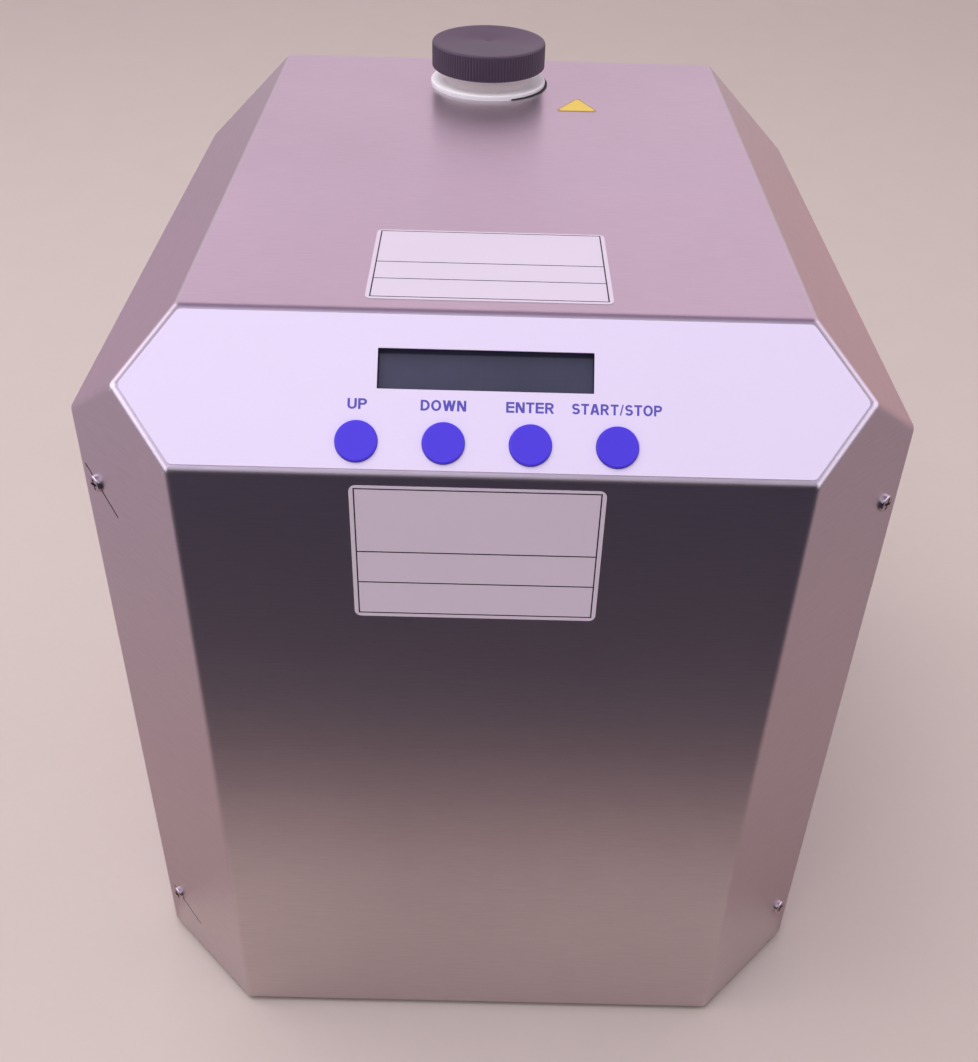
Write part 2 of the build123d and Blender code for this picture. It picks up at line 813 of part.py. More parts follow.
def fan_frame(x):
    """Moulded fan frame: two flanges, a round shroud, and a hub disc held by struts."""
    square = RectangleRounded(fan_side, fan_side, fan_corner)
    frame = extrude(square, amount=fan_flange)
    frame += Pos(0, 0, fan_depth - fan_flange) * extrude(square, amount=fan_flange)
    frame += Cylinder(fan_side / 2, fan_depth, align=LOW)
    for place in GridLocations(fan_screw_spread, fan_screw_spread, 2, 2):
        frame += place * Cylinder(fan_corner, fan_depth, align=LOW)
    frame -= Cylinder(fan_bore, 3 * fan_depth)
    hub = Cylinder(fan_hub_radius, fan_hub_disc, align=LOW)
    for i in range(fan_strut_count):
        angle = 360 * i / fan_strut_count
        reach = (fan_side / 2 + fan_bore) / 2
        strut = Box(reach, fan_strut_width, fan_hub_disc, align=(Align.MIN, Align.CENTER, Align.MIN))
        hub += Rot(0, 0, angle) * strut
    frame += hub
    for place in GridLocations(fan_screw_spread, fan_screw_spread, 2, 2):
        frame -= place * Cylinder(fan_screw_radius, 3 * fan_depth)
    frame -= Cylinder(fan_shaft_radius + fan_shaft_gap, 3 * fan_depth)
    return fan_place(x) * frame


def fan_place(x):
    """A fan's frame of reference: local Z runs forwards from the rear panel's inner face."""
    return Plane(origin=(x, back_y - sheet, fan_centre_height), x_dir=(1, 0, 0), z_dir=(0, -1, 0)).location


def blade_section(radius, chord, pitch):
    """A blade's cut at one radius, square to that radius."""
    middle = fan_hub_disc + fan_hub_gap + fan_hub_depth / 2
    cut = Plane(origin=(radius, 0, middle), x_dir=(0, 1, 0), z_dir=(1, 0, 0))
    return cut * (Rot(0, 0, pitch) * RectangleRounded(chord, fan_blade_thickness, fan_blade_round))


def fan_rotor(x):
    """Fan rotor: a hub with its shaft and twisted blades."""
    tip = fan_bore - fan_tip_gap
    back = fan_hub_disc + fan_hub_gap
    radii = (fan_hub_radius - 2, (fan_hub_radius + tip) / 2, tip + 2)
    sections = [blade_section(*cut) for cut in zip(radii, fan_blade_chords, fan_blade_pitches)]
    blade = loft(sections) & Pos(0, 0, back) * Cylinder(tip, fan_hub_depth, align=LOW)
    rotor = Pos(0, 0, back) * Cylinder(fan_hub_radius, fan_hub_depth, align=LOW)
    rotor = chamfer(rotor.edges().group_by(Axis.Z)[-1], fan_hub_chamfer)
    for i in range(fan_blade_count):
        rotor += Rot(0, 0, 360 * i / fan_blade_count) * blade
    rotor += Pos(0, 0, fan_shaft_inset) * Cylinder(fan_shaft_radius, back, align=LOW)
    return fan_place(x) * rotor


def fan_screws():
    """The eight screws that hold the fans to the rear panel."""
    screw = pan_screw(fan_screw_radius, 2 * screw_length, 2 * fan_screw_radius, screw_head_height)
    return group(rear * (place * screw) for x in fan_xs() for place in fan_hole_places(x))


def fin_places():
    """Left edges of the heat sinks' fins."""
    pitch = (core_width - fin_thickness) / (fin_count - 1)
    return [-core_width / 2 + i * pitch for i in range(fin_count)]


def clamp_places():
    """Where the core's clamp bolts run, each midway between two fins."""
    pitch = (core_width - fin_thickness) / (fin_count - 1)
    middle = fin_thickness / 2
    gap = -core_width / 2 + middle
    columns = (gap + 1.5 * pitch, gap + (fin_count - 1) / 2 * pitch, gap + (fin_count - 2.5) * pitch)
    rows = (core_front_y + clamp_end, core_front_y + core_length - clamp_end)
    return [(x, y) for y in rows for x in columns]


def upper_heat_sink():
    """Extruded heat sink above the cold plate, fins up."""
    y_from = core_front_y
    y_to = y_from + core_length
    z = fan_centre_height
    half = core_width / 2
    sink = block(-half, half, y_from, y_to, z + core_to_base, z + core_to_fins)
    for x in fin_places():
        sink += block(x, x + fin_thickness, y_from, y_to, z + core_to_fins, z + core_to_tips)
    for x, y in clamp_places():
        sink -= Pos(x, y, z) * Cylinder(clamp_radius + hole_gap, 2 * (core_to_fins + 1))
    return sink


def cold_plate():
    """Liquid-cooled plate between the two heat sinks, with drilled channels."""
    half = core_width / 2 - plate_inset
    y_to = core_front_y + core_length - plate_inset
    z = fan_centre_height
    half_plate = plate_thickness / 2
    body = block(-half, half, plate_front_y, y_to, z - half_plate, z + half_plate)
    for x, y in clamp_places():
        body -= Pos(x, y, z) * Cylinder(clamp_radius + hole_gap, 2 * plate_thickness)
    for x in plate_port_xs():
        channel = Cylinder(barb_bore, y_to - plate_front_y - plate_thickness, align=LOW)
        body -= barb_towards((0, 1, 0), x, plate_front_y, z) * channel
    return body


def plate_port_xs():
    """The cold plate's inlet, in line with the pump's outlet, and its outlet to the supply."""
    return (pump_x + pump_port_spread / 2, supply_x)


def plate_barbs():
    """Two barbs in the cold plate's front face."""
    piece = barb(barb_length) - bore(barb_length)
    return group(
        barb_towards((0, -1, 0), x, plate_front_y, fan_centre_height) * piece for x in plate_port_xs()
    )


def thermoelectric_modules():
    """Eight modules, each two ceramic plates with its pellets as one block between them."""
    core_middle = core_front_y + core_length / 2
    inner = module_side - 2 * module_rim
    module = Box(inner, inner, module_height)
    for side in (-1, 1):
        lift = side * (module_height - module_plate) / 2
        module += Pos(0, 0, lift) * Box(module_side, module_side, module_plate)
    pieces = []
    for side in (-1, 1):
        level = side * (plate_thickness + module_height) / 2
        for place in GridLocations(module_spacing_x, module_spacing_y, 2, 2):
            pieces.append(Pos(0, core_middle, fan_centre_height + level) * (place * module))
    return group(pieces)


def clamp_bolts():
    """Six bolts that clamp the two heat sinks on to the cold plate and its modules."""
    bolt = Cylinder(clamp_radius, 2 * core_to_fins)
    for side, align in ((1, LOW), (-1, HIGH)):
        head = Cylinder(clamp_head_radius, clamp_head_height, align=align)
        bolt += Pos(0, 0, side * core_to_fins) * head
    return group(Pos(x, y, fan_centre_height) * bolt for x, y in clamp_places())


def left_stand():
    """Sheet stand at the core's left side, with a foot on the tray."""
    outer = -core_width / 2 - sheet
    y_from = core_front_y
    y_to = y_from + core_length
    z_top = fan_centre_height + core_to_tips
    stand = block(outer, outer + sheet, y_from, y_to, floor_top, z_top)
    foot = block(outer - stand_flange, outer + sheet, y_from, y_to, floor_top, floor_top + sheet)
    low_window = block(
        outer - 1, outer + sheet + 1, y_from + stand_window_margin, y_to - stand_window_margin,
        floor_top + stand_window_margin, fan_centre_height - core_to_tips - stand_window_margin / 2,
    )
    return stand + foot - low_window


def pump_port_xs():
    """The pump's inlet and outlet."""
    return (pump_x - pump_port_spread / 2, pump_x + pump_port_spread / 2)


def pump_head():
    """Round pump head with both hose barbs on its front."""
    place = Plane(origin=(pump_x, pump_front_y, pump_z), x_dir=(-1, 0, 0), z_dir=(0, 1, 0)).location
    body = Cylinder(pump_radius, pump_head_depth, align=LOW)
    body = chamfer(body.edges().group_by(Axis.Z)[0], pump_edge)
    head = place * body
    for x in pump_port_xs():
        head += barb_towards((0, -1, 0), x, pump_front_y, pump_z) * barb(barb_length)
    for x in pump_port_xs():
        head -= barb_towards((0, -1, 0), x, pump_front_y, pump_z) * bore(barb_length)
    return head


def pump_motor():
    """Motor behind the bracket, with a nose through it to the pump head."""
    place = Plane(origin=(pump_x, pump_back_y, pump_z), x_dir=(-1, 0, 0), z_dir=(0, 1, 0)).location
    body = Pos(0, 0, sheet) * Cylinder(pump_motor_radius, pump_motor_length, align=LOW)
    body = chamfer(body.edges().group_by(Axis.Z)[-1], pump_edge)
    return place * (body + Cylinder(pump_nose_radius, sheet, align=LOW))


def pump_bracket():
    """Folded bracket between the pump head and its motor."""
    half = pump_bracket_width / 2
    y = pump_back_y
    plate = block(pump_x - half, pump_x + half, y, y + sheet, floor_top, pump_z + pump_radius)
    foot = block(
        pump_x - half, pump_x + half, y, y + pump_bracket_foot, floor_top, floor_top + sheet
    )
    foot -= Pos(pump_x, 0, pump_z) * Rot(90, 0, 0) * Cylinder(pump_motor_radius + hole_gap, 2 * casing_depth)
    plate -= barb_towards((0, 1, 0), pump_x, y, pump_z) * Cylinder(pump_nose_radius, 4 * sheet)
    return plate + foot


def fitting():
    """Bulkhead hose fitting along Z: hexagon and barb outside, thread and barb inside."""
    hexagon = extrude(RegularPolygon(fitting_hex_radius, 6), amount=fitting_hex_length)
    outer = Pos(0, 0, fitting_hex_length) * barb(outer_barb_length)
    thread = Cylinder(fitting_thread_radius, fitting_thread_length, align=HIGH)
    inner = Pos(0, 0, -fitting_thread_length) * (Rot(180, 0, 0) * barb(barb_length))
    hollow = Cylinder(barb_bore, 4 * (fitting_hex_length + outer_barb_length))
    return hexagon + outer + thread + inner - hollow


def fitting_place(x):
    """Where a fitting passes through the rear panel."""
    return rear.location * Pos(-x, fitting_height, 0)


def fitting_nuts():
    """Nuts on the fittings, behind the rear panel."""
    nut = extrude(RegularPolygon(fitting_hex_radius, 6), amount=-fitting_nut_length)
    nut -= Cylinder(fitting_thread_radius, 4 * fitting_nut_length)
    return group(fitting_place(x) * (Pos(0, 0, -sheet) * nut) for x in (supply_x, return_x))


def hose(points, radii):
    """A hose along straight runs joined by arcs, pushed over the barbs at both ends."""
    path = FilletPolyline(*points, radius=radii)
    start = Plane(origin=path @ 0, z_dir=path % 0)
    ring = Circle(hose_radius) - Circle(barb_radius)
    return sweep(start * ring, path=path)


def inner_hoses():
    """Reservoir to pump, pump to cold plate, cold plate to supply, and return to reservoir."""
    pump_in_x, pump_out_x = pump_port_xs()
    outlet_z = tank_floor + tank_outlet_lift
    core_z = fan_centre_height
    inner_end = back_y - fitting_thread_length
    return_y = front_y + tank_return_behind
    return_z = tank_top - tank_return_drop
    tank_right = neck_x + tank_width / 2
    bends = [hose_bend, hose_bend]
    routes = (
        ((pump_in_x, tank_front_y, outlet_z), (pump_in_x, hose_bend_y, outlet_z),
         (pump_in_x, hose_bend_y, pump_z), (pump_in_x, pump_front_y, pump_z)),
        ((pump_out_x, pump_front_y, pump_z), (pump_out_x, hose_bend_y, pump_z),
         (pump_out_x, hose_bend_y, core_z), (pump_out_x, plate_front_y, core_z)),
        ((supply_x, plate_front_y, core_z), (supply_x, hose_bend_y, core_z),
         (supply_x, hose_bend_y, fitting_height), (supply_x, inner_end, fitting_height)),
        ((return_x, inner_end, fitting_height), (return_x, return_y, fitting_height),
         (return_x, return_y, return_z), (tank_right, return_y, return_z)),
    )
    return group(hose(route, bends) for route in routes)


def inlet_place():
    """Middle of the mains inlet on the rear face: local X towards -X, Y up, Z out."""
    return rear.location * Pos(-inlet_x, inlet_height, 0)


def socket_outline(grow):
    """The appliance socket's outline, with its two slanted upper corners."""
    half = socket_width / 2 + grow
    low = -socket_length / 2 - grow
    high = socket_length / 2 + grow
    return Polygon(
        (-half, low), (half, low), (half, high - socket_corner),
        (half - socket_corner, high), (-half + socket_corner, high), (-half, high - socket_corner),
        align=None,
    )


def power_inlet():
    """Moulded inlet: face plate and body, with the socket, the drawer's slot and the rocker's well."""
    face = RectangleRounded(inlet_face_width, inlet_face_length, inlet_corner)
    body = extrude(face, amount=inlet_face_thickness)
    body = chamfer(body.edges().group_by(Axis.Z)[-1], inlet_edge)
    body += Box(inlet_body_width, inlet_body_length, inlet_body_depth, align=HIGH)
    top = inlet_face_thickness + 1
    socket = extrude(socket_outline(0), amount=-socket_depth - top)
    body -= Pos(0, socket_centre, top) * socket
    drawer = Box(
        drawer_width + 2 * drawer_gap, drawer_height + 2 * drawer_gap,
        top + drawer_depth + 1, align=HIGH,
    )
    body -= Pos(0, drawer_centre, top) * drawer
    well = Box(
        rocker_width + 2 * rocker_gap, rocker_length + 2 * rocker_gap, top + rocker_well, align=HIGH
    )
    body -= Pos(0, rocker_centre, top) * well
    pivot = Rot(0, 90, 0) * Cylinder(
        rocker_pin_radius + rocker_gap, rocker_width + 2 * rocker_pin_length + 4 * rocker_gap
    )
    body -= Pos(0, rocker_centre, inlet_face_thickness - rocker_pivot_depth) * pivot
    for x, y in pin_places():
        body -= Pos(x, y, -socket_depth) * Box(pin_width, pin_height, 2 * pin_root)
    return inlet_place() * body


def pin_places():
    """Middles of the inlet's three pins."""
    low = socket_centre - pin_rise
    return ((-pin_spread, low), (pin_spread, low), (0, socket_centre + pin_rise))


def inlet_pins():
    """Three flat pins that stand in the socket."""
    pin = Pos(0, 0, -socket_depth - pin_root) * Box(
        pin_width, pin_height, pin_length + pin_root, align=LOW
    )
    return group(inlet_place() * (Pos(x, y, 0) * pin) for x, y in pin_places())


def power_rocker():
    """Rocker switch key, drawn level and then tipped to its off end."""
    end_radius = rocker_length / 2
    end_x = math.sqrt(end_radius**2 - rocker_proud_end**2)
    back_x = math.sqrt(end_radius**2 - rocker_back**2)
    right_end = ThreePointArc((back_x, -rocker_back), (end_radius, 0), (end_x, rocker_proud_end))
    left_end = ThreePointArc((-end_x, rocker_proud_end), (-end_radius, 0), (-back_x, -rocker_back))
    top = Polyline((end_x, rocker_proud_end), (0, rocker_proud_middle), (-end_x, rocker_proud_end))
    bottom = Line((-back_x, -rocker_back), (back_x, -rocker_back))
    profile = make_face([right_end, top, left_end, bottom])
    key = extrude(profile, amount=rocker_width / 2, both=True)
    key += Cylinder(rocker_pin_radius, rocker_width + 2 * rocker_pin_length)
    # The profile is drawn with X along the key's length and Y outwards
    side_on = Plane(
        origin=(0, rocker_centre, inlet_face_thickness - rocker_pivot_depth),
        x_dir=(0, 1, 0), z_dir=(1, 0, 0),
    )
    return inlet_place() * (side_on.location * (Rot(0, 0, rocker_angle) * key))


def fuse_drawer():
    """Drawer for two fuses, with a finger notch in its front."""
    front = inlet_face_thickness + drawer_proud
    body = Pos(0, 0, front) * Box(drawer_width, drawer_height, drawer_depth + drawer_proud, align=HIGH)
    notch = Box(drawer_width / 2, drawer_notch, 2 * drawer_proud + 0.6)
    body -= Pos(0, -drawer_height / 2, front) * notch
    trough_front = front - 3 * drawer_proud
    for x in (-fuse_spread / 2, fuse_spread / 2):
        trough = Cylinder(fuse_radius + fuse_fit, fuse_length + 2 * fuse_fit, align=HIGH)
        trough += Pos(0, drawer_height / 2, 0) * Box(
            2 * (fuse_radius + fuse_fit), drawer_height, fuse_length + 2 * fuse_fit, align=HIGH
        )
        body -= Pos(x, 0, trough_front) * trough
    return inlet_place() * (Pos(0, drawer_centre, 0) * body)


def fuses():
    """Two 5 x 20 mm fuses lying in the drawer's troughs."""
    trough_front = inlet_face_thickness - 2 * drawer_proud
    fuse = Pos(0, -fuse_fit, trough_front - fuse_fit) * Cylinder(fuse_radius, fuse_length, align=HIGH)
    return group(
        inlet_place() * (Pos(x, drawer_centre, 0) * fuse) for x in (-fuse_spread / 2, fuse_spread / 2)
    )


def port_place():
    """Middle of the serial port on the rear face."""
    return rear.location * Pos(-port_x, port_height, 0)


def port_outline(shrink):
    """The D shape of the serial port's shell."""
    wide = port_shell_width / 2 - shrink
    narrow = wide - port_shell_slope
    high = port_shell_height / 2 - shrink
    shape = Polygon((-narrow, -high), (narrow, -high), (wide, high), (-wide, high), align=None)
    return fillet(shape.vertices(), port_shell_corner - shrink)


def serial_port():
    """Metal shell and flange of the serial port, with its two jack screws."""
    flange = RectangleRounded(port_flange_width, port_flange_height, port_flange_corner)
    body = extrude(flange, amount=port_flange_thickness)
    body += extrude(port_outline(0), amount=port_shell_length)
    body -= Pos(0, 0, -1) * extrude(port_outline(port_shell_wall), amount=port_shell_length + 2)
    for side in (-1, 1):
        screw = Cylinder(port_screw_shank, port_back_depth, align=HIGH)
        screw += extrude(RegularPolygon(port_screw_radius, 6), amount=port_screw_length)
        screw -= Pos(0, 0, 1.5) * Cylinder(port_screw_shank * 0.8, port_screw_length, align=LOW)
        body += Pos(side * port_screw_spacing / 2, 0, 0) * screw
    return port_place() * body


def port_insert():
    """Moulded insert of the serial port, with its contact holes."""
    insert = extrude(port_outline(port_shell_wall), amount=port_shell_length - 0.5)
    insert += Box(port_back_width, port_back_height, port_back_depth, align=HIGH)
    for row, count in ((1, 5), (-1, 4)):
        for i in range(count):
            x = (i - (count - 1) / 2) * port_pin_pitch
            y = row * port_row_pitch / 2
            insert -= Pos(x, y, port_shell_length) * Cylinder(port_pin_radius, 2 * port_pin_depth)
    return port_place() * insert


def power_supply():
    """Boxed power supply on the tray, with a lip round its lid and its terminal ledge."""
    x_to = supply_unit_right
    x_from = x_to - supply_unit_width
    y_from = front_y + supply_unit_behind
    y_to = y_from + supply_unit_length
    z_to = floor_top + supply_unit_height
    body = block(x_from, x_to, y_from, y_to, floor_top, z_to)
    groove = block(
        x_from - 1, x_to + 1, y_from - 1, y_to + 1, z_to - 4 * supply_lip, z_to - 3 * supply_lip
    )
    core = block(
        x_from + supply_lip, x_to - supply_lip, y_from + supply_lip, y_to - supply_lip,
        floor_top, z_to,
    )
    ledge = block(
        x_from - 1, x_to + 1, y_from - 1, y_from + supply_ledge_depth,
        floor_top + supply_ledge_height, z_to + 1,
    )
    return body - (groove - core) - ledge


def board_bracket():
    """Tall folded bracket behind the front face that carries the control board."""
    half = bracket_width / 2
    back = bracket_y + sheet
    plate = block(-half, half, bracket_y, back, floor_top, bracket_top)
    foot = block(-half, half, back - bracket_foot, back, floor_top, floor_top + sheet)
    return plate + foot


def control_board():
    """Control board on four standoffs, with its larger parts soldered to it."""
    low = floor_top + control_board_lift
    face = bracket_y - control_board_gap - board_thickness
    half = control_board_width / 2
    board = block(-half, half, face, face + board_thickness, low, low + control_board_height)
    middle = low + control_board_height / 2
    across = control_board_width - 2 * standoff_margin
    up = control_board_height - 2 * standoff_margin
    on_board = Plane(origin=(0, face, middle), x_dir=(1, 0, 0), z_dir=(0, -1, 0)).location
    for place in GridLocations(across, up, 2, 2):
        standoff = Pos(0, 0, -board_thickness) * Cylinder(standoff_radius, control_board_gap, align=HIGH)
        board += on_board * (place * standoff)
    for x, up_board, width, height, depth in board_parts:
        board += on_board * (Pos(x, up_board, 0) * Box(width, height, depth, align=LOW))
    for x, up_board in capacitor_middles:
        capacitor = Cylinder(capacitor_radius, capacitor_height, align=LOW)
        board += on_board * (Pos(x, up_board, 0) * capacitor)
    return board


os.makedirs("parts", exist_ok=True)

save("outer_cover", outer_cover())
save("control_overlay", control_overlay())
save("display_bezel", display_bezel())
save("display_glass", panel * glass_block(0))
save("panel_board", panel_board())
save("board_spacers", board_spacers())
save("key_switches", key_switches())
for button_name, button_x in zip(button_names, button_xs):
    save(button_name, panel * (Pos(button_x, button_up, 0) * button()))

save("fill_cap", fill_cap())
save("cap_liner", cap_liner())
save("fill_neck", fill_neck())
save("neck_gasket", neck_gasket())
save("neck_nut", neck_nut())
save("reservoir_tank", reservoir_tank())
save("tank_shelf", tank_shelf())

save("base_tray", base_tray())
foot_names = ("front_left_foot", "front_right_foot", "back_left_foot", "back_right_foot")
for foot_name, (foot_at_x, foot_at_y) in zip(foot_names, foot_places()):
    save(foot_name, Pos(foot_at_x, foot_at_y, 0) * rubber_foot())
save("foot_screws", group(Pos(x, y, 0) * foot_screw() for x, y in foot_places()))
for post_name, post in zip(("left_post", "right_post"), both_sides(left_post())):
    save(post_name, post)
save("front_cover_screws", front_cover_screws())
save("side_cover_screws", side_cover_screws())

save("rear_panel", rear_panel())
for side_name, fan_x in zip(("left", "right"), fan_xs()):
    save(side_name + "_fan_frame", fan_frame(fan_x))
    save(side_name + "_fan_rotor", fan_rotor(fan_x))
save("fan_screws", fan_screws())
save("supply_fitting", fitting_place(supply_x) * fitting())
save("return_fitting", fitting_place(return_x) * fitting())
save("fitting_nuts", fitting_nuts())
save("power_inlet", power_inlet())
save("inlet_pins", inlet_pins())
save("power_rocker", power_rocker())
save("fuse_drawer", fuse_drawer())
save("fuses", fuses())
save("serial_port", serial_port())
save("port_insert", port_insert())

core_plane = Plane(origin=(0, 0, fan_centre_height), z_dir=(0, 0, 1))
save("upper_heat_sink", upper_heat_sink())
save("lower_heat_sink", mirror(upper_heat_sink(), about=core_plane))
save("cold_plate", cold_plate())
save("plate_barbs", plate_barbs())
save("thermoelectric_modules", thermoelectric_modules())
save("clamp_bolts", clamp_bolts())
for stand_name, stand in zip(("left_stand", "right_stand"), both_sides(left_stand())):
    save(stand_name, stand)

save("pump_head", pump_head())
save("pump_motor", pump_motor())
save("pump_bracket", pump_bracket())
save("inner_hoses", inner_hoses())
save("power_supply", power_supply())
save("board_bracket", board_bracket())
save("control_board", control_board())
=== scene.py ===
"""Looks of the bench-top solid state chiller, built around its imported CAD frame. Metres, +Z up, front -Y."""
import math

import bmesh
import bpy
from mathutils import Matrix, Vector


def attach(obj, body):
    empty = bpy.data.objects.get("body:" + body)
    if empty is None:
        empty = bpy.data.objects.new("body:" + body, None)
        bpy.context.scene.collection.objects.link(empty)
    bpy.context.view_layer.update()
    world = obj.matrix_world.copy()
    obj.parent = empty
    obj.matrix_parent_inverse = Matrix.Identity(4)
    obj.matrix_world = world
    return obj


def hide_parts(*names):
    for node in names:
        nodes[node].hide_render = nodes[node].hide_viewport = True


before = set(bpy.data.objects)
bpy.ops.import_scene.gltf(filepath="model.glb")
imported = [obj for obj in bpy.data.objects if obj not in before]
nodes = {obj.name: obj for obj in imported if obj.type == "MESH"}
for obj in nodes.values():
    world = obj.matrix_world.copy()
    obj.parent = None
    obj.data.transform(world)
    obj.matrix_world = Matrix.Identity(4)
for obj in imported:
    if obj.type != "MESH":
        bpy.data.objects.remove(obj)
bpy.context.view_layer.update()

MM = 0.001

# Sizes that the CAD source also has, in millimetres
FRONT_Y = -158.0
BACK_Y = 130.0
CASING_TOP = 310.0
PANEL_Z = 273.5
PANEL_LENGTH = 36.5 * math.sqrt(2)
PANEL_HALF = 97.0
PANEL_TIP = 115.25
OVERLAY_INSET = 2.0
OVERLAY_THICKNESS = 0.5
WINDOW_X = -2.8
WINDOW_UP = 32.8
WINDOW_WIDTH = 65.0
WINDOW_HEIGHT = 12.6
BUTTON_XS = (-40.85, -14.95, 10.95, 36.85)
BUTTON_UP = 10.3
BUTTON_RADIUS = 6.35
BUTTON_TOP = 1.5
NECK_X = -5.0
NECK_Y = 96.0
NECK_RADIUS = 19.5
NECK_BORE = 17.5
NECK_RIM = 324.7
NECK_FOOT = 291.5
CAP_RADIUS = 24.5
CAP_BORE = 22.3
CAP_BOTTOM = 317.4
CAP_TOP = 328.1
THREAD_PITCH = 4.0

# Sloped panel: local X across, Y up the slope, Z out of its face
PANEL = Matrix((
    (1, 0, 0, 0),
    (0, math.sqrt(0.5), -math.sqrt(0.5), FRONT_Y * MM),
    (0, math.sqrt(0.5), math.sqrt(0.5), PANEL_Z * MM),
    (0, 0, 0, 1),
))


def srgb(red, green, blue):
    """A colour given as 0 to 255 screen values, as linear RGBA."""
    def linear(value):
        value /= 255
        return value / 12.92 if value <= 0.04045 else ((value + 0.055) / 1.055) ** 2.4
    return (linear(red), linear(green), linear(blue), 1.0)


class Shader:
    """One procedural material and short ways to add its nodes."""

    def __init__(self, name, **sockets):
        self.material = bpy.data.materials.new(name)
        self.material.use_nodes = True
        self.tree = self.material.node_tree
        self.bsdf = self.tree.nodes["Principled BSDF"]
        for socket, value in sockets.items():
            self.bsdf.inputs[socket.replace("_", " ")].default_value = value
        self.place = self.add("ShaderNodeTexCoord").outputs["Object"]

    def add(self, kind, settings=None, **inputs):
        """A node with its settings, and its inputs as values or as links."""
        node = self.tree.nodes.new(kind)
        for key, value in (settings or {}).items():
            setattr(node, key, value)
        for key, value in inputs.items():
            self.give(node.inputs[int(key[1:]) if key[1:].isdigit() else key.replace("_", " ")], value)
        return node

    def give(self, socket, value):
        if isinstance(value, bpy.types.NodeSocket):
            self.tree.links.new(value, socket)
        else:
            socket.default_value = value

    def math(self, operation, a, b=0.0):
        return self.add("ShaderNodeMath", {"operation": operation}, i0=a, i1=b).outputs[0]

    def vector(self, operation, a, b=(0, 0, 0)):
        return self.add("ShaderNodeVectorMath", {"operation": operation}, i0=a, i1=b).outputs[0]

    def noise(self, scale, detail=3.0, roughness=0.5, stretch=None, at=None):
        """Noise of a scale in cells per metre, its coordinates stretched if need be."""
        at = at or self.place
        if stretch:
            at = self.vector("MULTIPLY", at, stretch)
        return self.add(
            "ShaderNodeTexNoise", Vector=at, Scale=scale, Detail=detail, Roughness=roughness
        ).outputs["Fac"]

    def voronoi(self, scale, feature="F1", output="Distance"):
        settings = {"feature": feature}
        return self.add("ShaderNodeTexVoronoi", settings, Vector=self.place, Scale=scale).outputs[output]

    def ramp(self, value, low, high, to_low=0.0, to_high=1.0):
        """A value moved from one range to another, clamped."""
        node = self.add("ShaderNodeMapRange", i0=value, i1=low, i2=high, i3=to_low, i4=to_high)
        return node.outputs[0]

    def blend(self, factor, a, b):
        """Two colours mixed by a factor."""
        node = self.add("ShaderNodeMix", {"data_type": "RGBA"})
        self.give(node.inputs[0], factor)
        self.give(node.inputs[6], a)
        self.give(node.inputs[7], b)
        return node.outputs[2]

    def blend_value(self, factor, a, b):
        """Two numbers mixed by a factor."""
        node = self.add("ShaderNodeMix", i0=factor, i2=a, i3=b)
        return node.outputs[0]

    def bump(self, height, strength, distance=0.0002):
        """Bump from a height, added to what the shader already has."""
        node = self.add("ShaderNodeBump", Height=height, Strength=strength, Distance=distance)
        normal = self.bsdf.inputs["Normal"]
        if normal.links:
            self.give(node.inputs["Normal"], normal.links[0].from_socket)
        self.give(normal, node.outputs[0])

    def set(self, socket, value):
        self.give(self.bsdf.inputs[socket], value)
        return self


def plastic(name, colour, roughness, grain=900.0, bump=0.15, spread=0.10, **sockets):
    """Moulded plastic, paint or rubber: a fine surface grain with faint changes of tone and gloss."""
    made = Shader(name, **sockets)
    broad = made.noise(22.0, 4.0, 0.6)
    fine = made.noise(grain, 2.0)
    dark = tuple(c * (1 - spread) for c in colour[:3]) + (1.0,)
    light = tuple(min(1.0, c * (1 + spread)) for c in colour[:3]) + (1.0,)
    tone = made.blend_value(0.35, broad, fine)
    made.set("Base Color", made.blend(made.ramp(tone, 0.3, 0.7), dark, light))
    made.set("Roughness", made.ramp(broad, 0.25, 0.75, max(0.03, roughness - 0.06), roughness + 0.06))
    made.bump(fine, bump)
    return made.material


def metal(name, colour, roughness, stretch=None, scale=700.0, bump=0.1, spread=0.12, **sockets):
    """Bare or plated metal with a grain that may run one way."""
    made = Shader(name, Metallic=1.0, **sockets)
    grain = made.noise(scale, 3.0, 0.6, stretch)
    broad = made.noise(30.0, 3.0)
    dark = tuple(c * (1 - spread) for c in colour[:3]) + (1.0,)
    tone = made.blend_value(0.4, grain, broad)
    made.set("Base Color", made.blend(made.ramp(tone, 0.3, 0.7), dark, colour))
    made.set("Roughness", made.ramp(tone, 0.3, 0.7, roughness + 0.07, max(0.05, roughness - 0.07)))
    made.bump(grain, bump)
    return made.material


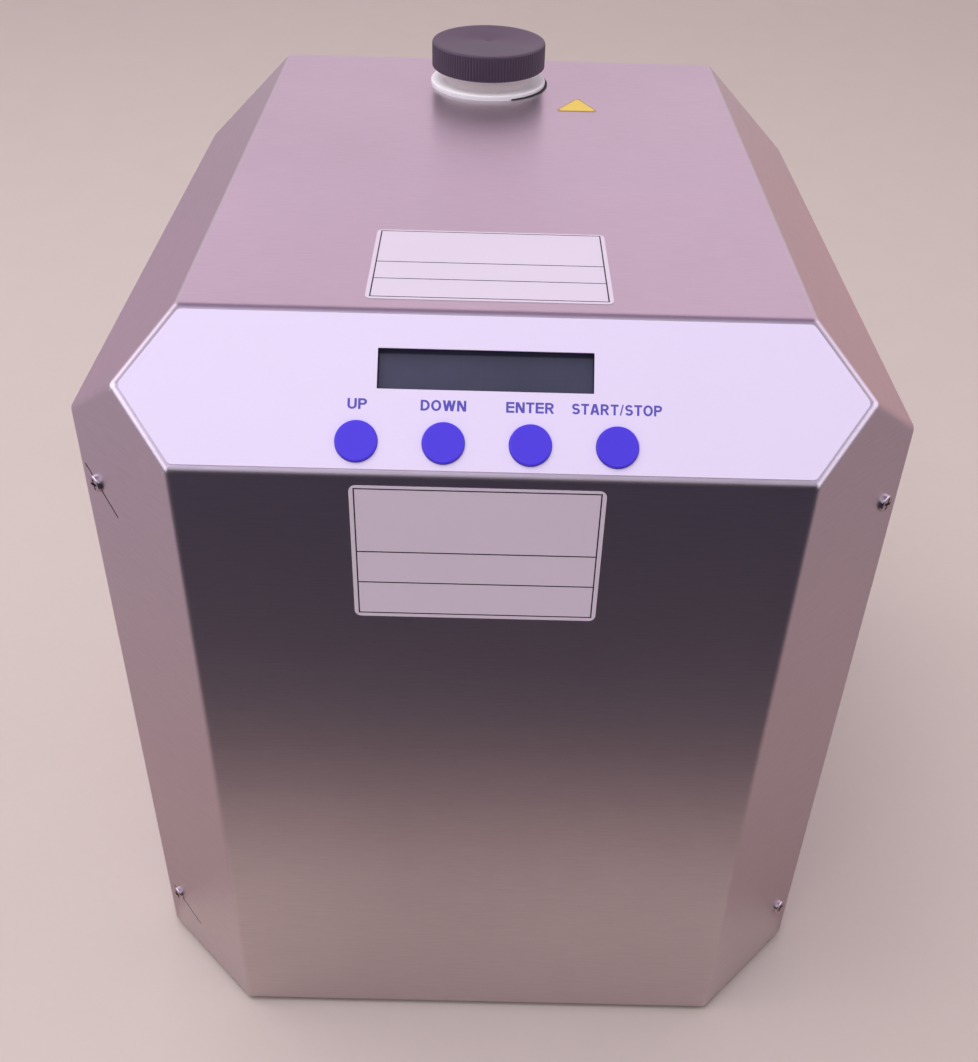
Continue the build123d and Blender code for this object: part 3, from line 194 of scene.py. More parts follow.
def casing_steel():
    """Satin stainless sheet. The grain runs level round the walls and across the top and the panel."""
    made = Shader("satin_stainless", Metallic=1.0, Anisotropic=0.55)
    geometry = made.add("ShaderNodeNewGeometry")
    normal = geometry.outputs["Normal"]
    parts = made.add("ShaderNodeSeparateXYZ", Vector=normal)
    level = made.math("SUBTRACT", parts.outputs["Z"], made.math("ABSOLUTE", parts.outputs["X"]))
    on_top = made.ramp(level, 0.2, 0.5)
    walls = made.noise(1.0, 3.0, 0.65, (90, 90, 5200))
    top = made.noise(1.0, 3.0, 0.65, (90, 5200, 300))
    grain = made.blend_value(on_top, walls, top)
    cloud = made.noise(9.0, 4.0, 0.55)
    speck = made.ramp(made.noise(620.0, 1.0), 0.70, 0.80)
    tone = made.blend_value(0.3, grain, cloud)
    steel = made.blend(made.ramp(tone, 0.3, 0.7), srgb(205, 196, 200), srgb(224, 215, 219))
    made.set("Base Color", made.blend(made.math("MULTIPLY", speck, 0.25), steel, srgb(238, 230, 236)))
    made.set("Roughness", made.ramp(tone, 0.3, 0.7, 0.36, 0.27))
    across = made.vector("CROSS_PRODUCT", normal, made.vector("CROSS_PRODUCT", (0, 0, 1), normal))
    mixed = made.add("ShaderNodeMix", {"data_type": "VECTOR"})
    made.give(mixed.inputs[0], on_top)
    made.give(mixed.inputs[4], across)
    made.give(mixed.inputs[5], (0, 1, 0))
    made.set("Tangent", mixed.outputs[1])
    made.bump(grain, 0.10, 0.00004)
    return made.material


def galvanised():
    """Zinc-coated sheet with its spangle."""
    made = Shader("galvanised", Metallic=1.0)
    spangle = made.voronoi(110.0, output="Color")
    flat = made.add("ShaderNodeRGBToBW", Color=spangle).outputs[0]
    made.set("Base Color", made.blend(flat, srgb(150, 152, 156), srgb(196, 198, 202)))
    made.set("Roughness", made.ramp(flat, 0.0, 1.0, 0.5, 0.32))
    made.bump(made.noise(800.0), 0.06)
    return made.material


def board_green(name, mask, copper):
    """Circuit board: solder mask with copper tracks showing through and a fine glass weave."""
    made = Shader(name, Roughness=0.35)
    parts = made.add("ShaderNodeSeparateXYZ", Vector=made.place)
    tracks = made.voronoi(260.0, "DISTANCE_TO_EDGE")
    across = made.add(
        "ShaderNodeTexWave", {"wave_type": "BANDS"}, Vector=made.place, Scale=90.0, Distortion=6.0
    )
    both = made.math("MAXIMUM", made.ramp(tracks, 0.04, 0.06, 1.0, 0.0),
                     made.ramp(across.outputs["Fac"], 0.86, 0.9))
    made.set("Base Color", made.blend(made.math("MULTIPLY", both, 0.6), mask, copper))
    made.bump(both, 0.25, 0.0001)
    made.bump(made.math("SINE", made.math("MULTIPLY", parts.outputs["X"], 9000.0)), 0.03)
    return made.material


def milky(name, colour, roughness):
    """Translucent polyethylene or hose."""
    return plastic(
        name, colour, roughness, grain=500.0, bump=0.06, spread=0.04,
        Subsurface_Weight=0.25, Subsurface_Radius=(0.004, 0.003, 0.0025), Subsurface_Scale=0.5,
    )


def display_glass():
    """Liquid crystal display, unlit: slate with the faint cells of two lines of characters."""
    made = Shader("display_slate", Roughness=0.12)
    parts = made.add("ShaderNodeSeparateXYZ", Vector=made.place)
    columns = made.math("FRACT", made.math("MULTIPLY", parts.outputs["X"], 1000 / 3.55))
    rows = made.math("FRACT", made.math("MULTIPLY", parts.outputs["Z"], 1000 / 4.25))
    cell = made.math("MULTIPLY", made.ramp(columns, 0.10, 0.16), made.ramp(rows, 0.08, 0.14))
    slate = made.blend(made.noise(40.0, 3.0), srgb(44, 46, 66), srgb(64, 66, 92))
    made.set("Base Color", made.blend(made.math("MULTIPLY", cell, 0.02), slate, srgb(96, 104, 118)))
    made.bump(made.noise(300.0), 0.02)
    return made.material


steel = casing_steel()
zinc = metal("zinc_screw", srgb(212, 203, 207), 0.2, scale=1500.0)
nickel = metal("nickel_brass", srgb(206, 200, 188), 0.22, scale=900.0)
aluminium = metal("extruded_aluminium", srgb(205, 206, 210), 0.38, (4, 1, 40), 60.0)
plate_metal = metal("milled_aluminium", srgb(214, 214, 216), 0.30, (1, 12, 1), 160.0)
sheet_zinc = galvanised()
motor_steel = metal("motor_steel", srgb(122, 124, 128), 0.42)
overlay_white = plastic("overlay_film", srgb(231, 220, 250), 0.42, grain=1600.0, bump=0.08, spread=0.012)
button_blue = plastic("button_blue", srgb(66, 40, 226), 0.38, grain=1800.0, bump=0.05, spread=0.03)
print_blue = plastic("print_blue", srgb(84, 74, 186), 0.5, spread=0.03)
cap_black = plastic("cap_phenolic", srgb(75, 58, 78), 0.42, grain=1400.0, bump=0.12, spread=0.06)
neck_white = plastic("neck_polythene", srgb(232, 222, 220), 0.45, grain=700.0, bump=0.08, spread=0.03)
# The same polythene as the neck, made whiter: painted light on the flange
flange_painted_light = plastic("neck_flange", srgb(253, 250, 254), 0.4, grain=900.0, bump=0.04, spread=0.01)
liner_foam = plastic("liner_foam", srgb(225, 222, 214), 0.8, grain=1500.0, bump=0.3)
rubber = plastic("rubber", srgb(38, 36, 38), 0.72, grain=1100.0, bump=0.3)
tank_white = milky("tank_polythene", srgb(226, 224, 216), 0.5)
hose_clear = milky("hose_vinyl", srgb(206, 206, 200), 0.25)
fan_black = plastic("fan_plastic", srgb(34, 35, 38), 0.5, grain=1200.0, bump=0.18)
inlet_black = plastic("inlet_nylon", srgb(28, 28, 30), 0.46, grain=1500.0, bump=0.22)
pump_black = plastic("pump_plastic", srgb(46, 47, 50), 0.48, grain=900.0, bump=0.2)
insert_blue = plastic("port_insert_nylon", srgb(34, 42, 66), 0.45)
nut_white = plastic("nut_nylon", srgb(222, 218, 208), 0.5)
ceramic = plastic("module_ceramic", srgb(232, 230, 224), 0.6, grain=1600.0, bump=0.1)
fuse_metal = metal("fuse_cap", srgb(214, 208, 196), 0.2)
board_main = board_green("control_board_mask", srgb(22, 84, 52), srgb(58, 128, 80))
board_panel = board_green("panel_board_mask", srgb(20, 72, 48), srgb(52, 118, 72))
plate_white = plastic("plate_film", srgb(217, 206, 224), 0.4, grain=1500.0, bump=0.05, spread=0.012)
plate_ink = plastic("plate_ink", srgb(44, 34, 50), 0.5, spread=0.05)
triangle_yellow = plastic("triangle_film", srgb(232, 200, 62), 0.4, grain=1200.0, bump=0.05, spread=0.03)
triangle_edge = plastic("triangle_edge", srgb(178, 146, 92), 0.5, spread=0.04)
# Painted shade for the floors of the screws' cross recesses
recess_painted_shade = plastic("recess_shadow", srgb(46, 32, 36), 0.6)

finishes = {
    "outer_cover": steel, "base_tray": sheet_zinc, "rear_panel": steel, "left_post": sheet_zinc,
    "right_post": sheet_zinc, "tank_shelf": sheet_zinc, "left_stand": sheet_zinc,
    "right_stand": sheet_zinc, "pump_bracket": sheet_zinc, "board_bracket": sheet_zinc,
    "power_supply": sheet_zinc, "control_overlay": overlay_white, "display_bezel": motor_steel,
    "display_glass": display_glass(), "panel_board": board_panel, "board_spacers": nickel,
    "key_switches": pump_black, "fill_cap": cap_black, "cap_liner": liner_foam,
    "fill_neck": neck_white, "neck_gasket": rubber, "neck_nut": nut_white,
    "reservoir_tank": tank_white, "foot_screws": zinc, "front_cover_screws": zinc,
    "side_cover_screws": zinc, "left_fan_frame": fan_black, "right_fan_frame": fan_black,
    "left_fan_rotor": fan_black, "right_fan_rotor": fan_black, "fan_screws": zinc,
    "supply_fitting": nickel, "return_fitting": nickel, "fitting_nuts": nickel,
    "power_inlet": inlet_black, "inlet_pins": nickel, "power_rocker": inlet_black,
    "fuse_drawer": inlet_black, "fuses": fuse_metal, "serial_port": zinc, "port_insert": insert_blue,
    "upper_heat_sink": aluminium, "lower_heat_sink": aluminium, "cold_plate": plate_metal,
    "plate_barbs": nickel, "thermoelectric_modules": ceramic, "clamp_bolts": zinc,
    "pump_head": pump_black, "pump_motor": motor_steel, "inner_hoses": hose_clear,
    "control_board": board_main,
}
for side in ("front_left", "front_right", "back_left", "back_right"):
    finishes[side + "_foot"] = rubber
button_nodes = ("up_button", "down_button", "enter_button", "start_stop_button")
for name in button_nodes:
    finishes[name] = button_blue
for name, finish in finishes.items():
    mesh = nodes[name].data
    mesh.materials.clear()
    mesh.materials.append(finish)


def piece(name, points, faces, material, body, place=None, angle=30.0, replaces=()):
    """A mesh in millimetres, put in its place and riding on a body."""
    mesh = bpy.data.meshes.new(name)
    mesh.from_pydata([Vector(p) * MM for p in points], [], faces)
    return finish_piece(name, mesh, material, body, place, angle, replaces)


def finish_piece(name, mesh, material, body, place=None, angle=30.0, replaces=()):
    """Shading, material and place for a mesh that is already in metres."""
    shape = bmesh.new()
    shape.from_mesh(mesh)
    bmesh.ops.remove_doubles(shape, verts=shape.verts, dist=1e-7)
    bmesh.ops.recalc_face_normals(shape, faces=shape.faces)
    shape.to_mesh(mesh)
    shape.free()
    if place is not None:
        mesh.transform(place)
        if place.determinant() < 0:
            mesh.flip_normals()
    mesh.shade_smooth()
    mesh.set_sharp_from_angle(angle=math.radians(angle))
    mesh.materials.clear()
    mesh.materials.append(material)
    made = bpy.data.objects.new(name, mesh)
    bpy.context.scene.collection.objects.link(made)
    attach(made, body)
    if replaces:
        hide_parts(*replaces)
    return made


def ring_face(low, high, i):
    """Face number i between two rings of points, of which one may be a single point."""
    quad = [low[i % len(low)], low[(i + 1) % len(low)], high[(i + 1) % len(high)], high[i % len(high)]]
    return [point for k, point in enumerate(quad) if point not in quad[:k]]


def lathe(profile, steps=96):
    """Points and faces of a closed or open profile of (radius, height) turned about Z."""
    points, rings = [], []
    for radius, height in profile:
        if radius < 1e-6:
            rings.append([len(points)])
            points.append((0.0, 0.0, height))
            continue
        rings.append(list(range(len(points), len(points) + steps)))
        for i in range(steps):
            angle = 2 * math.pi * i / steps
            points.append((radius * math.cos(angle), radius * math.sin(angle), height))
    faces = []
    for low, high in zip(rings, rings[1:]):
        for i in range(steps):
            face = ring_face(low, high, i)
            if len(face) > 2:
                faces.append(face)
    return points, faces


def arc(centre, radius, start, end, steps=6):
    """Points of an arc in a lathe's profile, its angles in degrees."""
    x, z = centre
    angles = [math.radians(start + (end - start) * i / steps) for i in range(steps + 1)]
    return [(x + radius * math.cos(a), z + radius * math.sin(a)) for a in angles]


def shift(x=0.0, y=0.0, z=0.0):
    return Matrix.Translation(Vector((x, y, z)) * MM)


def joined(parts):
    """Several (points, faces) lists as one."""
    points, faces = [], []
    for more, sides in parts:
        base = len(points)
        points += more
        faces += [[base + i for i in side] for side in sides]
    return points, faces


def moved(shape, matrix):
    """A (points, faces) pair carried by a matrix whose lengths are in millimetres."""
    points, faces = shape
    return [tuple(matrix @ Vector(p)) for p in points], faces


def flat_shape(outlines, thickness):
    """Mesh of closed outlines, holes included, raised by a thickness above z = 0."""
    curve = bpy.data.curves.new("outline", "CURVE")
    curve.dimensions = "2D"
    curve.fill_mode = "BOTH"
    curve.extrude = thickness * MM / 2
    for outline in outlines:
        spline = curve.splines.new("POLY")
        spline.points.add(len(outline) - 1)
        for point, (x, y) in zip(spline.points, outline):
            point.co = (x * MM, y * MM, 0, 1)
        spline.use_cyclic_u = True
    return curve_mesh(curve, thickness / 2)


def curve_mesh(curve, lift):
    """A curve's mesh, lifted by millimetres, with the curve deleted."""
    holder = bpy.data.objects.new("holder", curve)
    mesh = bpy.data.meshes.new_from_object(holder)
    bpy.data.objects.remove(holder)
    bpy.data.curves.remove(curve)
    mesh.transform(shift(z=lift))
    return mesh


def circle(x, y, radius, steps=96):
    return [(x + radius * math.cos(2 * math.pi * i / steps), y + radius * math.sin(2 * math.pi * i / steps))
            for i in range(steps)]


def rounded_rectangle(x0, y0, x1, y1, radius, steps=6):
    """Outline of a rectangle with round corners."""
    outline = []
    corners = ((x1 - radius, y1 - radius, 0), (x0 + radius, y1 - radius, 90),
               (x0 + radius, y0 + radius, 180), (x1 - radius, y0 + radius, 270))
    for x, y, start in corners:
        outline += arc((x, y), radius, start, start + 90, steps)
    return outline


def rounded_polygon(corners, radius, steps=6):
    """Outline of a counter-clockwise convex polygon with round corners."""
    outline = []
    count = len(corners)
    for i, corner in enumerate(corners):
        here = Vector(corner)
        before = (Vector(corners[i - 1]) - here).normalized()
        after = (Vector(corners[(i + 1) % count]) - here).normalized()
        half = before.angle(after) / 2
        centre = here + (before + after).normalized() * radius / math.sin(half)
        start = (here + before * radius / math.tan(half)) - centre
        sweep = math.pi - 2 * half
        for k in range(steps + 1):
            turned = Matrix.Rotation(sweep * k / steps, 2) @ start
            outline.append(tuple(centre + turned))
    return outline


# Control panel: film, buttons, lettering
def panel_outline():
    """Six-sided outline of the film on the sloped panel."""
    middle = PANEL_LENGTH / 2
    slope = Vector((PANEL_TIP - PANEL_HALF, middle))
    reach = OVERLAY_INSET * slope.length / middle
    tip = PANEL_TIP - reach
    half = tip - (PANEL_TIP - PANEL_HALF) * (middle - OVERLAY_INSET) / middle
    low, high = OVERLAY_INSET, PANEL_LENGTH - OVERLAY_INSET
    corners = [(-half, low), (half, low), (tip, middle), (half, high), (-half, high), (-tip, middle)]
    return rounded_polygon(corners, 2.0)


BUTTON_PLAY = 0.12
window = rounded_rectangle(
    WINDOW_X - WINDOW_WIDTH / 2, WINDOW_UP - WINDOW_HEIGHT / 2,
    WINDOW_X + WINDOW_WIDTH / 2, WINDOW_UP + WINDOW_HEIGHT / 2, 0.3,
)
holes = [circle(x, BUTTON_UP, BUTTON_RADIUS + BUTTON_PLAY) for x in BUTTON_XS]
film = flat_shape([panel_outline(), window, *holes], OVERLAY_THICKNESS)
finish_piece("control_film", film, overlay_white, "casing", PANEL, replaces=["control_overlay"])

STEM_RADIUS = 1.7
STEM_END = -5.3
SKIRT_RADIUS = 7.65
SKIRT_LOW = -2.5
SKIRT_HIGH = -1.5
BUTTON_ROUND = 0.5
button_profile = [
    (0, STEM_END), (STEM_RADIUS, STEM_END), (STEM_RADIUS, SKIRT_LOW), (SKIRT_RADIUS, SKIRT_LOW),
    (SKIRT_RADIUS, SKIRT_HIGH), (BUTTON_RADIUS, SKIRT_HIGH), (BUTTON_RADIUS, BUTTON_TOP - BUTTON_ROUND),
    *arc((BUTTON_RADIUS - BUTTON_ROUND, BUTTON_TOP - BUTTON_ROUND), BUTTON_ROUND, 0, 90, 8),
    (5.1, BUTTON_TOP - 0.03), (3.0, BUTTON_TOP - 0.05), (0, BUTTON_TOP - 0.05),
]
for name, x in zip(button_nodes, BUTTON_XS):
    points, faces = lathe(button_profile)
    place = PANEL @ shift(x, BUTTON_UP)
    piece(name + "_cap", points, faces, button_blue, name, place, replaces=[name])


# Bold letters of height 1, each a width and its strokes. A stroke is a line of constant width, or a
# slanted bar whose ends are cut level.
STROKE = 0.19
HALF_STROKE = STROKE / 2
HIGH_LINE = 1 - HALF_STROKE


def oval(x, y, across, up, start, end, steps=16):
    """Points of part of an ellipse, its angles in degrees."""
    angles = [math.radians(start + (end - start) * i / steps) for i in range(steps + 1)]
    return [(x + across * math.cos(a), y + up * math.sin(a)) for a in angles]


def line(*points):
    """A stroke of constant width along points, as points and faces."""
    edges = []
    for i, point in enumerate(points):
        here = Vector(point)
        sides = []
        if i:
            sides.append((here - Vector(points[i - 1])).normalized())
        if i < len(points) - 1:
            sides.append((Vector(points[i + 1]) - here).normalized())
        along = sum(sides, Vector((0, 0))).normalized()
        reach = HALF_STROKE / max(0.5, along.dot(sides[0]))
        across = Vector((-along.y, along.x)) * reach
        edges += [(*(here + across), 0), (*(here - across), 0)]
    return edges, [[k, k + 1, k + 3, k + 2] for k in range(0, len(edges) - 2, 2)]


def slant(x0, y0, x1, y1, width=0.21):
    """A slanted bar with level ends."""
    half = width / 2
    return [(x0 - half, y0, 0), (x0 + half, y0, 0), (x1 + half, y1, 0), (x1 - half, y1, 0)], [[0, 1, 2, 3]]


stem = line((HALF_STROKE, 0), (HALF_STROKE, 1))
bowl = line((HALF_STROKE, HIGH_LINE), *oval(0.38, 0.695, 0.2, 0.21, 90, -90), (HALF_STROKE, 0.485))
belly = line(
    (HALF_STROKE, HIGH_LINE), *oval(0.3, 0.5, 0.325, 0.405, 90, -90), (HALF_STROKE, HALF_STROKE)
)
zigzag = [
    slant(x_top, 1, x_foot, 0)
    for x_top, x_foot in ((0.11, 0.30), (0.52, 0.30), (0.52, 0.74), (0.93, 0.74))
]
GLYPHS = {
    "U": (0.72, [line((HALF_STROKE, 1), *oval(0.36, 0.36, 0.265, 0.265, 180, 360), (0.625, 1))]),
    "P": (0.67, [stem, bowl]),
    "R": (0.74, [stem, bowl, slant(0.36, 0.47, 0.62, 0)]),
    "D": (0.72, [stem, belly]),
    "O": (0.80, [line(*oval(0.4, 0.5, 0.305, 0.415, 0, 360, 32))]),
    "W": (1.04, zigzag),
    "N": (0.72, [stem, line((0.625, 0), (0.625, 1)), slant(0.12, 1, 0.6, 0, 0.24)]),
    "E": (0.65, [stem] + [line((0, y), (0.65, y)) for y in (HALF_STROKE, 0.52, HIGH_LINE)]),
    "T": (0.66, [line((0, HIGH_LINE), (0.66, HIGH_LINE)), line((0.33, 0), (0.33, 1))]),
    "A": (0.78, [slant(0.35, 1, 0.11, 0), slant(0.43, 1, 0.67, 0), line((0.2, 0.3), (0.58, 0.3))]),
    "S": (0.68, [line(*oval(0.34, 0.7, 0.225, 0.205, 20, 270), *oval(0.34, 0.3, 0.24, 0.205, 80, -160))]),
    "/": (0.34, [slant(0.28, 1, 0.06, 0, 0.12)]),
}
LETTER_GAP = 0.1
# Strokes that cross lie one above another, millimetres apart
LAYER = 0.004


def word(text, x0, x1, low, high):
    """Points and faces of a word that fills a box on its plane."""
    strokes = []
    x = 0.0
    for letter in text:
        width, lines = GLYPHS[letter]
        for layer, stroke in enumerate(lines):
            strokes.append(moved(stroke, Matrix.Translation((x, 0, LAYER * layer))))
        x += width + LETTER_GAP
    fit = Matrix.Diagonal(((x1 - x0) / (x - LETTER_GAP), high - low, 1, 1))
    return moved(joined(strokes), Matrix.Translation((x0, low, 0)) @ fit)


letter_boxes = (
    ("UP", -43.8, -38.0), ("DOWN", -22.0, -8.4), ("ENTER", 3.5, 17.9), ("START/STOP", 23.1, 50.0),
)
LETTERS_LOW = 20.1
LETTERS_HIGH = 23.4
PRINT_LIFT = 0.01
for (text, x0, x1), name in zip(letter_boxes, button_nodes):
    points, faces = word(text, x0, x1, LETTERS_LOW, LETTERS_HIGH)
    place = PANEL @ shift(z=OVERLAY_THICKNESS + PRINT_LIFT)
    piece(name + "_word", points, faces, print_blue, "casing", place)

# Blank plates and the plain yellow triangle
TOP_FACE = Matrix.Translation((0, 0, CASING_TOP * MM))
FRONT_FACE = Matrix(((1, 0, 0, 0), (0, 0, -1, FRONT_Y * MM), (0, 1, 0, 0), (0, 0, 0, 1)))
PLATE_THICKNESS = 0.15
PLATE_MARGIN = 1.3
RULE = 0.42
FIELD_LEVELS = (0.0, 0.26, 0.51, 1.0)


def slab(x0, y0, x1, y1, thickness):
    """Points and faces of a box on the plane z = 0."""
    points = [(x, y, z) for z in (0.0, thickness) for x, y in ((x0, y0), (x1, y0), (x1, y1), (x0, y1))]
    sides = [[i, (i + 1) % 4, (i + 1) % 4 + 4, i + 4] for i in range(4)]
    return points, [[3, 2, 1, 0], [4, 5, 6, 7], *sides]


def blank_plate(name, x0, y0, x1, y1, place):
    """A thin white plate with its ruled lines and nothing written in its fields."""
    sheet = flat_shape([rounded_rectangle(x0, y0, x1, y1, 2.2)], PLATE_THICKNESS)
    finish_piece(name, sheet, plate_white, "casing", place)
    left, right = x0 + PLATE_MARGIN, x1 - PLATE_MARGIN
    low, high = y0 + PLATE_MARGIN, y1 - PLATE_MARGIN
    levels = [low + share * (high - low) for share in FIELD_LEVELS]
    rules = [slab(left, y, right, y + RULE, 0.02) for y in levels]
    rules += [slab(x, low, x + RULE, high + RULE, 0.03) for x in (left, right - RULE)]
    points, faces = joined(rules)
    piece(name + "_rules", points, faces, plate_ink, "casing", place @ shift(z=PLATE_THICKNESS))


blank_plate("top_plate", -40.5, FRONT_Y + 42.4, 36.0, FRONT_Y + 93.7, TOP_FACE)
blank_plate("front_plate", -43.0, 219.0, 34.3, 270.0, FRONT_FACE)

triangle = [(23.4, FRONT_Y + 218.9), (41.5, FRONT_Y + 219.1), (33.5, FRONT_Y + 236.4)]
TRIANGLE_THICKNESS = 0.12
TRIANGLE_FACE_SHARE = 0.86
backing = flat_shape([rounded_polygon(triangle, 1.2)], TRIANGLE_THICKNESS)
finish_piece("triangle_back", backing, triangle_edge, "casing", TOP_FACE)
middle = sum((Vector(p) for p in triangle), Vector((0, 0))) / 3
inner = [tuple(middle + (Vector(p) - middle) * TRIANGLE_FACE_SHARE) for p in triangle]
face = flat_shape([rounded_polygon(inner, 0.9)], 0.02)
place = TOP_FACE @ shift(z=TRIANGLE_THICKNESS)
finish_piece("triangle_face", face, triangle_yellow, "casing", place)


# Fill cap and neck
RIBS = 120
RIB_DEPTH = 0.32
PER_RIB = 6


def ribbed_cap():
    """Cap with round-crested ribs on its side, a rounded upper edge and a gate mark in its middle."""
    steps = RIBS * PER_RIB
    top = CAP_TOP - CAP_BOTTOM
    edge = 1.0
    outside = [(CAP_RADIUS - 0.5, 0.0, 0.0), (CAP_RADIUS, 0.4, 1.0), (CAP_RADIUS, top - edge - 0.5, 1.0)]
    for radius, height in arc((CAP_RADIUS - edge, top - edge), edge, 0, 90, 6):
        outside.append((radius, height, max(0.0, 1.0 - (height - top + edge) / edge * 1.6)))
    outside += [(CAP_RADIUS - 3.0, top, 0.0), (CAP_RADIUS - 3.4, top - 0.12, 0.0), (1.6, top - 0.12, 0.0),
                (1.2, top - 0.3, 0.0), (0.0, top - 0.35, 0.0)]
    inside = [(CAP_RADIUS - 0.5, 0.0, 0.0), (CAP_BORE, 0.0, 0.0), (CAP_BORE, top - 2.2, 0.0),
              (0.0, top - 2.2, 0.0)]
    shapes = []
    for profile in (outside, inside):
        points, rings = [], []
        for radius, height, rib in profile:
            if radius < 1e-6:
                rings.append([len(points)])
                points.append((0, 0, height))
                continue
            rings.append(list(range(len(points), len(points) + steps)))
            for i in range(steps):
                angle = 2 * math.pi * i / steps
                wave = abs(math.cos(math.pi * i / PER_RIB)) ** 0.7
                r = radius - rib * RIB_DEPTH * (1 - wave)
                points.append((r * math.cos(angle), r * math.sin(angle), height))
        faces = []
        for low, high in zip(rings, rings[1:]):
            for i in range(steps):
                face = ring_face(low, high, i)
                if len(face) > 2:
                    faces.append(face)
        shapes.append((points, faces))
    return joined(shapes)


def thread(root, crest, z0, turns, start, width=1.6, per_turn=72):
    """A helical ridge of trapezoid section about Z, fading in and out at its ends."""
    points, faces = [], []
    steps = int(turns * per_turn)
    for i in range(steps + 1):
        angle = start + 2 * math.pi * i / per_turn
        z = z0 + THREAD_PITCH * i / per_turn
        fade = min(1.0, i / 10, (steps - i) / 10)
        tip = root + (crest - root) * max(0.02, fade)
        for radius, dz in ((root, -width / 2), (tip, -width / 5), (tip, width / 5), (root, width / 2)):
            points.append((radius * math.cos(angle), radius * math.sin(angle), z + dz))
        if i:
            a, b = 4 * (i - 1), 4 * i
            faces += [[a + k, a + (k + 1) % 4, b + (k + 1) % 4, b + k] for k in range(4)]
    faces += [[3, 2, 1, 0], [4 * steps + k for k in range(4)]]
    return points, faces


AT_NECK = shift(NECK_X, NECK_Y)
points, faces = ribbed_cap()
piece("ribbed_cap", points, faces, cap_black, "cap", AT_NECK @ shift(z=CAP_BOTTOM), 40, ["fill_cap"])

FLANGE_LOW = 310.5
FLANGE_TOP = 312.0
FLANGE_RADIUS = 25.0
FLANGE_ROUND = 0.5
LIP = 0.3
LIP_LOW = CASING_TOP + 0.02
RIM_OUTER_ROUND = 0.6
RIM_INNER_ROUND = 0.5
neck_profile = [
    (NECK_BORE, NECK_FOOT), (NECK_RADIUS, NECK_FOOT), (NECK_RADIUS, NECK_RIM - RIM_OUTER_ROUND),
    *arc((NECK_RADIUS - RIM_OUTER_ROUND, NECK_RIM - RIM_OUTER_ROUND), RIM_OUTER_ROUND, 0, 90),
    *arc((NECK_BORE + RIM_INNER_ROUND, NECK_RIM - RIM_INNER_ROUND), RIM_INNER_ROUND, 90, 180),
    (NECK_BORE, NECK_FOOT),
]
points, faces = lathe(neck_profile, 128)
piece("neck_body", points, faces, neck_white, "casing", AT_NECK, 40, ["fill_neck"])
flange_profile = [
    (NECK_RADIUS - 0.2, FLANGE_LOW), (FLANGE_RADIUS - LIP, FLANGE_LOW),
    (FLANGE_RADIUS - LIP, LIP_LOW), (FLANGE_RADIUS, LIP_LOW),
    *arc((FLANGE_RADIUS - FLANGE_ROUND, FLANGE_TOP - FLANGE_ROUND), FLANGE_ROUND, 0, 90),
    (NECK_RADIUS + 0.5, FLANGE_TOP), (NECK_RADIUS - 0.2, FLANGE_TOP + 0.5),
]
points, faces = lathe(flange_profile, 128)
# Whiter than the neck body: painted light
piece("neck_flange", points, faces, flange_painted_light, "casing", AT_NECK, 40)
WASHER_RADIUS = 24.4
WASHER_SHIFT = 1.6
WASHER_BORE = NECK_RADIUS + 1.5
washer_profile = [
    (WASHER_BORE, CASING_TOP), (WASHER_RADIUS, CASING_TOP), (WASHER_RADIUS, FLANGE_LOW),
    (WASHER_BORE, FLANGE_LOW), (WASHER_BORE, CASING_TOP),
]
points, faces = lathe(washer_profile, 96)
place = shift(NECK_X + WASHER_SHIFT, NECK_Y)
piece("neck_washer", points, faces, rubber, "casing", place, 40, ["neck_gasket"])
THREAD_LOW = 315.6
THREAD_ANGLE = 0.3
THREAD_DEPTH = 1.5
THREAD_SINK = 0.1
NECK_TURNS = 1.7
CAP_TURNS = 1.1
# The cap's ridge starts this share of a pitch higher, and of a turn further, which puts it half a
# pitch off the neck's, so the two run past each other as the cap turns
CAP_THREAD_RISE = 0.66
CAP_THREAD_LEAD = 0.16
points, faces = thread(
    NECK_RADIUS - THREAD_SINK, NECK_RADIUS + THREAD_DEPTH, THREAD_LOW, NECK_TURNS, THREAD_ANGLE
)
piece("neck_thread", points, faces, neck_white, "casing", AT_NECK, 50)
points, faces = thread(
    CAP_BORE + THREAD_SINK, CAP_BORE - THREAD_DEPTH, THREAD_LOW + THREAD_PITCH * CAP_THREAD_RISE,
    CAP_TURNS, THREAD_ANGLE + 2 * math.pi * CAP_THREAD_LEAD,
)
piece("cap_thread", points, faces, cap_black, "cap", AT_NECK, 50)


# Screw heads with cross recesses
def cross_outline(arm, half_width):
    """Outline of a cross."""
    outline = []
    for x, y in ((half_width, half_width), (half_width, arm), (-half_width, arm)):
        outline.append(Vector((x, y)))
    return [tuple(Matrix.Rotation(math.radians(90 * i), 2) @ p) for i in range(4) for p in outline]


def screw_head(radius, height):
    """Side of a pan head, from its seat up to the edge of its flat top."""
    edge = height * 0.6
    top = [(radius - edge * (1 - math.cos(math.radians(a))), height - edge * (1 - math.sin(math.radians(a))))
           for a in (0, 18, 36, 54, 72, 90)]
    return [(0, 0), (radius, 0), *top]


# Radians from one screw's cross to the next
SCREW_TURN = 1.3


